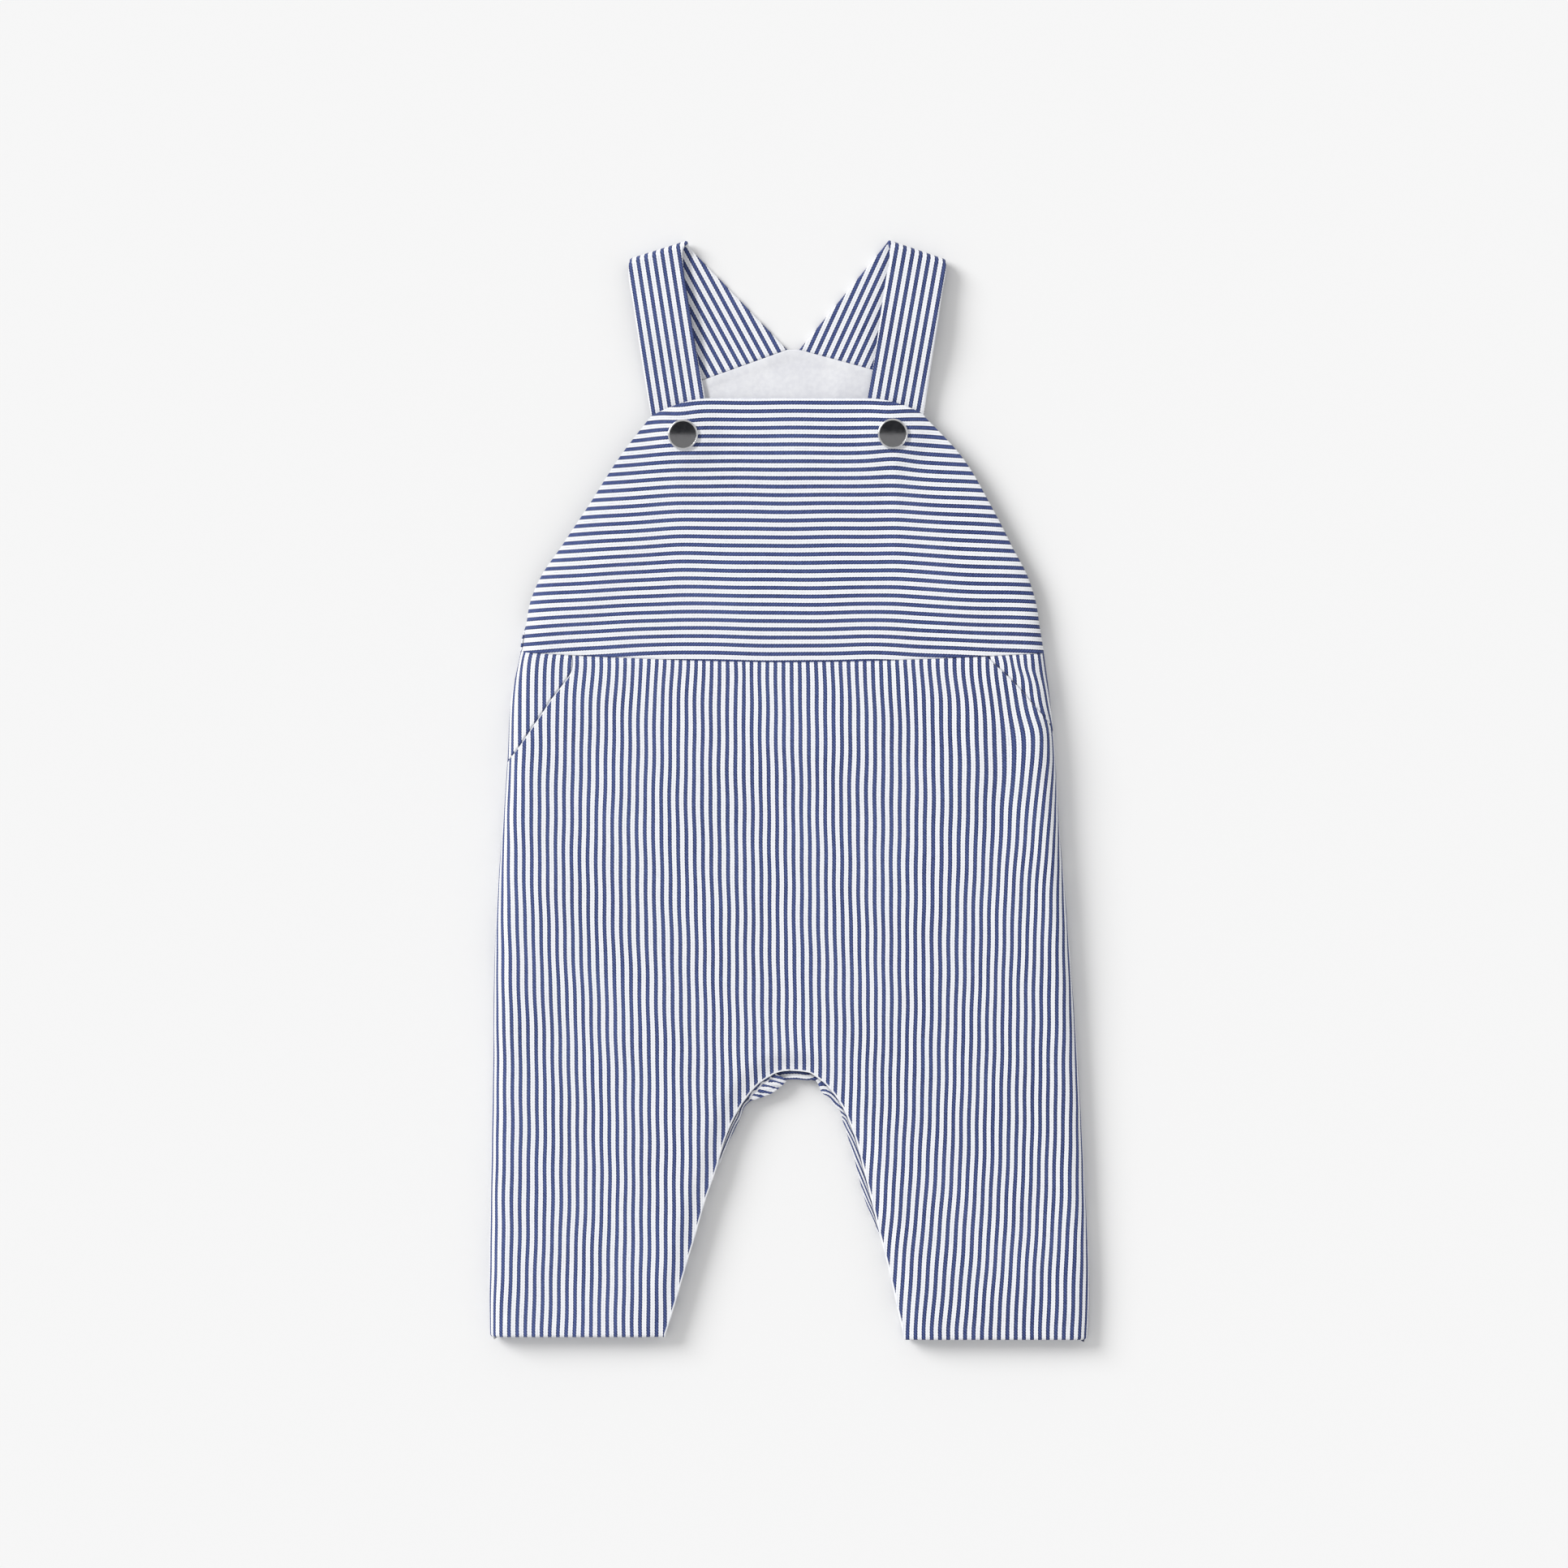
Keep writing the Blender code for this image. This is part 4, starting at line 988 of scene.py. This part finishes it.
def bib_skin():
    """Outer skin of the bib, with its swell over the snaps and its folds."""
    low = SEAM_HEIGHT + GAP
    high = loft(SIDE_WAIST_Y)
    skin = armhole_skin(
        BIB_ARMHOLE, bib_top_line,
        lambda share: FRONT_CORNER + BIB_CORNER_GROWS * share,
        lambda share: low + (BIB_EDGE_HEIGHT - low) * eased(share * BIB_EDGE_RISES),
        lambda share: high + (BIB_TOP_HEIGHT - high) * eased(share),
        BIB_GRID)
    x, y = skin[..., 0], skin[..., 1]
    for snap_x, snap_y in SNAPS.values():
        away = np.hypot(x - snap_x, y - snap_y)
        skin[..., 2] += SNAP_RIDGE * np.exp(-(away / SNAP_RIDGE_REACH) ** 4)
    skin[..., 2] += bumps(BIB_FOLDS, x, y) * eased((y - waist_line(x)) / BIB_FOLDS_FROM)
    skin[..., 3] = (BIB_FIRST_STRIPE - bib_droop(x, y) - y) / BIB_STRIPE
    return skin


bib = cloth_piece("bib_front_cloth", [bib_skin()], DOUBLE_WALL)
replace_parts(bib, "bib_front")

# ---- Upper back ------------------------------------------------------------------------------
# The outer layer of the back above the waist, of the twill, stripes across.  It lies on the
# surface and turns up to meet the bib at the waist's sides.

BACK_ARMHOLE = (
    # share of the height, y, left, right
    (0.00, 67.8, -132.9, 125.8),
    (0.05, 74.0, -132.3, 124.2),
    (0.10, 80.0, -130.6, 122.0),
    (0.24, 98.0, -122.0, 115.0),
    (0.40, 120.0, -108.0, 103.0),
    (0.60, 147.0, -90.0, 87.0),
    (0.80, 173.0, -74.0, 72.0),
    (1.00, 197.0, -62.0, 60.0),
)
BACK_GRID = (60, 40)
BACK_TURNED_UP = 0.3        # share of the height over which its sides sink to the surface
STRAP_SEAM_LAP = 1.2        # how far the straps' ends run on under the lining
STRAPS = {
    # outermost line of the fold, then the edges' ends under the bib and at the back's seam
    "left": {
        "fold_outer": (-79.4, 262.1), "fold_inner": (-50.4, 271.3),
        "front_outer": (-64.4, 163.4), "front_inner": (-36.8, 163.4),
        "seam_outer": (-61.6, 195.6), "seam_inner": (-0.9, 217.4),
    },
    "right": {
        "fold_outer": (77.9, 261.7), "fold_inner": (48.9, 271.6),
        "front_outer": (63.4, 163.4), "front_inner": (35.4, 163.4),
        "seam_outer": (60.0, 202.4), "seam_inner": (4.9, 217.4),
    },
}


def back_top_line(x):
    """Top edge of the back: the two straps' seams, and level between them."""
    line = np.full_like(x, STRAPS["left"]["seam_inner"][1])
    for strap in STRAPS.values():
        (outer_x, outer_y), (inner_x, inner_y) = strap["seam_outer"], strap["seam_inner"]
        seam = inner_y + (x - inner_x) * (inner_y - outer_y) / (inner_x - outer_x)
        line = np.minimum(line, seam)
    return line


back_skin = armhole_skin(
    BACK_ARMHOLE, lambda x: back_top_line(x) - STRAP_SEAM_LAP - GAP, BACK_CORNER,
    lambda share: SEAM_HEIGHT * (1 - eased(share / BACK_TURNED_UP)), 0.0, BACK_GRID)
back_upper = cloth_piece("back_upper_cloth", [back_skin[:, ::-1]], TWILL_WALL)
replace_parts(back_upper, "back_upper")

# ---- Back lining -----------------------------------------------------------------------------
# Plain white cotton inside the upper back, sewn in with the straps' seams at the top and laid
# over the straps' ends there.

LINING_WALL = 1.0
LINING_INSET = 2.6
LINING_WAIST_INSET = 3.0
LINING_CORNER = 0.02        # its sides are square
LINING_GRID = (70, 40)
LINING_LAP_RISE = 0.6       # how far it rises to lie over the straps' ends
LINING_LAP = (1.4, 5.0)     # distance below its edge where it starts to sink, and how gently
LINING_DEEPEST = -0.2       # that a fold goes
LINING_FOLDS = (
    # x, y, half length, half width, height, degrees from the X axis
    (-20.0, 205.0, 14.0, 5.0, 0.35, 30.0),
    (14.0, 200.0, 18.0, 6.0, -0.30, -20.0),
    (30.0, 206.0, 10.0, 4.0, 0.30, 60.0),
    (-32.0, 198.0, 9.0, 4.0, -0.30, 80.0),
    (0.0, 130.0, 70.0, 12.0, 0.4, 5.0),
    (0.0, 98.0, 80.0, 10.0, -0.3, -4.0),
)
LINING_COLOUR = (0.82, 0.825, 0.85, 1.0)
LINING_SHADE = (0.715, 0.72, 0.76, 1.0)
LINING_MOTTLE = (
    # cells a metre, detail, where a patch starts and where it is full
    (75.0, 3.0, 0.35, 0.65),
    (380.0, 2.0, 0.30, 0.70),
)
WEAVE_CELLS = 1800.0
WEAVE_HEIGHT = 0.00005      # in metres
WEAVE_STRENGTH = 0.2
LINING_FINISH = {"Roughness": 0.9, "Specular IOR Level": 0.2}


def white_lining():
    """Plain white cotton with a faint, soft mottle: the mean of two noises."""
    made, tree, shader = new_material("white_lining", LINING_FINISH)
    place = node(tree, "ShaderNodeTexCoord").outputs["Object"]
    patches = [ramp(tree, cloud(tree, place, cells, detail), start, full)
               for cells, detail, start, full in LINING_MOTTLE]
    mottle = times(tree, sum_of(tree, *patches), 1 / len(patches))
    tree.links.new(blend(tree, mottle, LINING_COLOUR, LINING_SHADE), shader.inputs["Base Color"])
    dented(tree, shader, cloud(tree, place, WEAVE_CELLS), WEAVE_STRENGTH, WEAVE_HEIGHT)
    return made


def lining_skin():
    """Upper side of the lining: the back's outline moved in, one height, soft folds, and a
    rise at its top edge to lie over the straps' ends."""
    outline = []
    for share, y, left, right in BACK_ARMHOLE:
        inset = LINING_INSET + LINING_WAIST_INSET * (1 - share)
        outline.append((share, y, left + inset, right - inset))
    height = TWILL_WALL + GAP + LINING_WALL
    skin = armhole_skin(outline, back_top_line, LINING_CORNER, height, height, LINING_GRID)
    x, y = skin[..., 0], skin[..., 1]
    skin[..., 2] += np.maximum(bumps(LINING_FOLDS, x, y), LINING_DEEPEST)
    start, reach = LINING_LAP
    skin[..., 2] += LINING_LAP_RISE * (1 - eased((back_top_line(x) - y - start) / reach))
    return skin


lining = cloth_piece("back_lining_cloth", [lining_skin()], LINING_WALL, white_lining())
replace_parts(lining, "back_lining")

# ---- Straps ----------------------------------------------------------------------------------
# Each strap is a turned tube of the twill, pressed flat, stripes lengthwise.  It is sewn to the
# top of the back, folds over at the shoulder and runs down under the bib to its snap.

STRAP_WALL = 2.0
STRAP_FOLD_RADIUS = 2.75
STRAP_LOW = 5.2             # middle of the strap where it passes under the bib
STRAP_LEVEL_AFTER = 0.7     # share of the front part after which it lies that low
STRAP_ARCH = 1.9            # how far the front part stands up between the fold and the bib
STRAP_COLUMNS = 30
STRAP_BACK_ROWS = 40
STRAP_FOLD_ROWS = 17
STRAP_FRONT_ROWS = 80
STRAP_RUN = 100.0           # length that spaces them, in mm
STRAP_ROUND = 1.6           # radius of the shoulder's corners
STRAP_ROUND_REACH = 6.0
STRAP_BOW = {
    # share down the front part from the fold, shift of that edge to the right
    "left": {
        "outer": ((0.0, -1.1), (0.066, -1.8), (0.17, -1.5), (0.30, -1.44), (0.65, -1.0), (1.0, 0.0)),
        "inner": ((0.0, -2.6), (0.02, -3.6), (0.063, -4.0), (0.16, -4.1), (0.27, -3.5), (0.38, -3.2),
                  (0.49, -2.6), (0.67, -1.3), (1.0, 0.0)),
    },
    "right": {
        "outer": ((0.0, 0.8), (0.04, 0.95), (0.10, 0.7), (0.30, 0.5), (0.6, 0.1), (1.0, 0.0)),
        "inner": ((0.0, 1.4), (0.02, 2.0), (0.15, 1.9), (0.23, 1.5), (0.34, 1.3), (0.58, 0.55),
                  (0.71, -0.2), (1.0, -0.4)),
    },
}
STRAP_BACK_EDGE = {"left": 0.0, "right": -1.2}     # shift of the back part's inner edge at the fold
STRAP_BACK_SHIFT = {
    # how far the back part's stripes lie to the right of the fold's mirror image: at a place,
    # a millimetre down and a millimetre to the right
    "left": (4.55, 0.046, 0.015),
    "right": (0.3, 0.038, -0.048),
}
STRAP_BACK_PLACE = (30.0, 245.4)
STRAP_STRIPES = {
    # a point on the outer or inner edge's stripe, the stripes' own direction down, repeat
    "left": ((-73.76, 229.4), (0.1555, -0.9878), 4.11),
    "right": ((46.15, 229.4), (-0.1771, -0.9842), 4.10),
}


def strap_skin(strap, side):
    """Outer skin of a strap, back seam to front end.

    Its middle surface is straight lines across: level on the back, round a half circle at
    the shoulder, then sinking to the height at which it passes under the bib.  The map is
    the strap unrolled about the fold line, so the back part's stripes mirror the front's.
    """
    outer, inner = np.array(strap["fold_outer"]), np.array(strap["fold_inner"])
    width = np.linalg.norm(inner - outer)
    along = (inner - outer) / width
    away = np.array([-along[1], along[0]])
    away *= np.sign(away[1])
    across = (fine_ends(width, STRAP_COLUMNS) / width)[:, None]
    rows = []

    def line(start, end):
        return np.array(start) * (1 - across) + np.array(end) * across

    def bow(share):
        outwards = from_table(STRAP_BOW[side]["outer"], 1, share)
        return outwards * (1 - across) + from_table(STRAP_BOW[side]["inner"], 1, share) * across

    def back_shift(plan):
        at, down, right = STRAP_BACK_SHIFT[side]
        place = plan - np.array(STRAP_BACK_PLACE)
        shift = at - down * place[:, 1] + right * place[:, 0]
        return np.stack([shift, 0 * shift], axis=-1)

    def mirrored(plan):
        plan = plan - back_shift(plan)
        short = ((fold - plan) @ away)[:, None]
        return plan + away * (2 * short + STRAP_FOLD_RADIUS * math.pi)

    def add_row(plan, height, unrolled_plan):
        rows.append(np.column_stack([plan, np.full(len(plan), height), unrolled_plan]))

    fold = line(outer, inner) - away * (STRAP_FOLD_RADIUS + STRAP_WALL / 2)
    seam = line(strap["seam_outer"], strap["seam_inner"])
    seam += (seam - fold) / np.linalg.norm(seam - fold, axis=1, keepdims=True) * STRAP_SEAM_LAP
    front = line(strap["front_outer"], strap["front_inner"])
    low = STRAP_WALL / 2
    high = low + 2 * STRAP_FOLD_RADIUS
    for share in np.linspace(0.0, 1.0, STRAP_BACK_ROWS)[:-1]:
        plan = seam + (fold - seam) * share
        plan[:, :1] += STRAP_BACK_EDGE[side] * across * share
        add_row(plan, low, mirrored(plan))
    for turn in np.linspace(0.0, math.pi, STRAP_FOLD_ROWS):
        moved = across * STRAP_BACK_EDGE[side] if turn < math.pi / 2 else bow(0.0)
        moved = np.column_stack([moved * (1 - math.sin(turn)), 0 * moved])
        plan = fold + away * (STRAP_FOLD_RADIUS * math.sin(turn)) + moved
        slide = back_shift(fold) * (1 - float(eased(turn / math.pi)))
        slide -= 2 * away * (slide @ away)[:, None]
        add_row(plan, low + STRAP_FOLD_RADIUS * (1 - math.cos(turn)),
                fold + moved - slide + away * (STRAP_FOLD_RADIUS * (math.pi - turn)))
    for share in fine_ends(STRAP_RUN, STRAP_FRONT_ROWS, first=False)[1:] / STRAP_RUN:
        plan = fold + (front - fold) * share
        plan[:, :1] += bow(share)
        drop = (high - STRAP_LOW) * float(eased(share / STRAP_LEVEL_AFTER))
        arch = STRAP_ARCH * math.sin(math.pi * min(share / STRAP_LEVEL_AFTER, 1.0)) ** 2
        add_row(plan, high - drop + arch, plan)
    rows = np.array(rows)
    start, down, repeat = STRAP_STRIPES[side]
    from_start = rows[..., 3:] - np.array(start)
    count = (from_start @ np.array([-down[1], down[0]])) / repeat
    skin = grid_of(rows[..., 0], rows[..., 1], rows[..., 2], count, -(from_start @ np.array(down)))
    out = grid_normals(skin)
    flip = np.sign(out[-1, 0, 2])
    skin[..., :3] += out * flip * STRAP_WALL / 2

    # The corners of the shoulder are round
    from_side = across[:, 0] * width
    inwards = np.sqrt(STRAP_ROUND ** 2 - np.maximum(STRAP_ROUND - from_side, 0.0) ** 2)
    below = (outer - skin[..., :2]) @ away
    near = np.clip(1 - below / STRAP_ROUND_REACH, 0.0, 1.0) ** 2
    skin[..., :2] -= away * ((STRAP_ROUND - inwards) * near)[..., None]
    return skin if flip > 0 else skin[:, ::-1]


for side, strap in STRAPS.items():
    strap_cloth = cloth_piece("strap_" + side + "_cloth", [strap_skin(strap, side)], STRAP_WALL)
    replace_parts(strap_cloth, "strap_" + side)

# ---- Snaps -----------------------------------------------------------------------------------
# Nickel-plated ring snaps.  The cap is pressed from sheet, with a bright rolled rim round a
# slightly sunk, polished face; socket and stud sit between the bib and the strap.

SNAP_SECTIONS = {
    # radius, height
    "cap": (
        (0.0, 11.25), (6.6, 11.25), (7.1, 11.5), (7.36, 12.0), (7.42, 12.5), (7.40, 12.84),
        (7.35, 12.96), (7.29, 13.01), (7.25, 13.03), (6.99, 13.146), (6.95, 13.16),
        (6.90, 13.16), (6.82, 13.11), (6.75, 12.99), (6.69, 12.89), (6.62, 12.855),
        (6.55, 12.846), (6.4, 12.85), (4.8, 12.90), (3.2, 12.94), (1.6, 12.965), (0.0, 12.97),
    ),
    "socket": (
        (2.9, 7.4), (5.2, 7.4), (5.2, 8.9), (2.9, 8.9), (2.9, 7.4),
    ),
    "stud": (
        (0.0, 6.5), (4.5, 6.5), (4.5, 7.1), (2.0, 7.1), (2.5, 7.9), (2.1, 8.3), (0.0, 8.3),
    ),
}
ROUND_STEPS = 96
NICKEL_FINISH = {"Base Color": (0.80, 0.80, 0.81, 1.0), "Metallic": 1.0}
NICKEL_WEAR = (0.3, 0.7, 0.06, 0.10)            # where wear starts and is full, roughness there
WEAR_CELLS = 500.0


def nickel():
    """Polished nickel plate with a very faint unevenness."""
    made, tree, shader = new_material("nickel", NICKEL_FINISH)
    place = node(tree, "ShaderNodeTexCoord").outputs["Object"]
    wear = ramp(tree, cloud(tree, place, WEAR_CELLS), *NICKEL_WEAR)
    tree.links.new(wear, shader.inputs["Roughness"])
    return made


NICKEL = nickel()


def round_piece(name, section, place):
    """Piece turned about the upright axis through a place: a ring of points for every row of
    its section, one point where the radius is nothing."""
    radius, height = np.array(section).T
    angle = np.linspace(0.0, 2 * math.pi, ROUND_STEPS + 1)
    x = place[0] + radius[:, None] * np.cos(angle)
    y = place[1] + radius[:, None] * np.sin(angle)
    skin = grid_of(x, y, height[:, None], 0.0, 0.0)
    points, quads = weld([skin])
    return new_piece(name, points[:, :3], quads[:, ::-1], points[:, 3:], NICKEL)


for side, place in SNAPS.items():
    for part, section in SNAP_SECTIONS.items():
        snap = "snap_" + part + "_" + side
        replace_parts(round_piece(snap + "_metal", section, place), snap)

# ---- Floor, light and camera -----------------------------------------------------------------
# A pale sheet of card, one soft lamp for it and one for the garment, both from the upper left,
# an even white surround, and three cards that only show as reflections in the metal.

FLOOR_HALF = 3.0            # these sheets are in metres
FLOOR_Z = -0.0003
FLOOR_FINISH = {"Base Color": (0.867, 0.867, 0.867, 1.0), "Roughness": 0.9,
                "Specular IOR Level": 0.1}
CARD_Z = 2.3
# Painted reflections: the black and the grey card give the caps' faces their dark and grey
# reflection, and the white card glows to lay a painted highlight on their rims
CARDS = {
    # left, right, nearer and farther edge, colour, glow
    "card_black": (-1.0, 1.0, 0.27, 1.7, (0.010, 0.011, 0.015, 1.0), 0.0),
    "card_grey": (-1.0, 1.0, -1.5, 0.27, (0.22, 0.22, 0.224, 1.0), 0.0),
    "card_white": (-3.0, -1.3, 0.6, 2.4, (0.9, 0.9, 0.9, 1.0), 3.0),
}
SURROUND = 0.655
LAMPS = {
    # elevation, bearing from +X, angular size in degrees and strength
    "table_lamp": (30.0, 148.0, 30.0, 2.60),
    "garment_lamp": (42.0, 142.0, 11.0, 1.98),
}
LENS = 200.0
SENSOR = 36.0
VIEW_WIDTH = 772.8          # width of the frame at the garment's height
VIEW_X, VIEW_Y, VIEW_Z = -2.6, 3.0, 10.0


def level_sheet(name, corners, height, finish):
    """Flat rectangle of card at a height; counterclockwise corners face it up."""
    mesh = bpy.data.meshes.new(name)
    mesh.from_pydata([(x, y, height) for x, y in corners], [], [(0, 1, 2, 3)])
    mesh.materials.append(new_material(name, finish)[0])
    sheet = bpy.data.objects.new(name, mesh)
    bpy.context.scene.collection.objects.link(sheet)
    return sheet


floor = level_sheet("floor", ((-FLOOR_HALF, -FLOOR_HALF), (FLOOR_HALF, -FLOOR_HALF),
                              (FLOOR_HALF, FLOOR_HALF), (-FLOOR_HALF, FLOOR_HALF)),
                    FLOOR_Z, FLOOR_FINISH)
for name, (left, right, near, far, colour, glow) in CARDS.items():
    card = level_sheet(name, ((left, near), (left, far), (right, far), (right, near)), CARD_Z,
                       {"Base Color": colour, "Roughness": 0.9, "Emission Color": colour,
                        "Emission Strength": glow})
    card.visible_diffuse = False
    card.visible_shadow = False
    card.visible_camera = False

world = bpy.data.worlds.new("surround")
world.use_nodes = True
world.node_tree.nodes["Background"].inputs["Color"].default_value = (1.0, 1.0, 1.0, 1.0)
world.node_tree.nodes["Background"].inputs["Strength"].default_value = SURROUND
bpy.context.scene.world = world

# The table lamp lights the floor alone, and the garment lamp all but the floor
lit = {name: bpy.data.collections.new(name + "_lights") for name in LAMPS}
for name, (elevation, bearing, spread, strength) in LAMPS.items():
    lamp = bpy.data.lights.new(name, "SUN")
    lamp.energy = strength
    lamp.angle = math.radians(spread)
    lamp_object = bpy.data.objects.new(name, lamp)
    lamp_object.rotation_euler = (0.0, math.radians(90.0 - elevation), math.radians(bearing))
    lamp_object.light_linking.receiver_collection = lit[name]
    lit[name].objects.link(floor)
    bpy.context.scene.collection.objects.link(lamp_object)
lit["garment_lamp"].collection_objects[0].light_linking.link_state = "EXCLUDE"

camera = bpy.data.cameras.new("camera")
camera.lens = LENS
camera.sensor_width = SENSOR
camera_object = bpy.data.objects.new("camera", camera)
camera_object.location = (VIEW_X * MM, VIEW_Y * MM, (VIEW_Z + VIEW_WIDTH * LENS / SENSOR) * MM)
bpy.context.scene.collection.objects.link(camera_object)
bpy.context.scene.camera = camera_object
bpy.context.scene.view_settings.view_transform = "Standard"
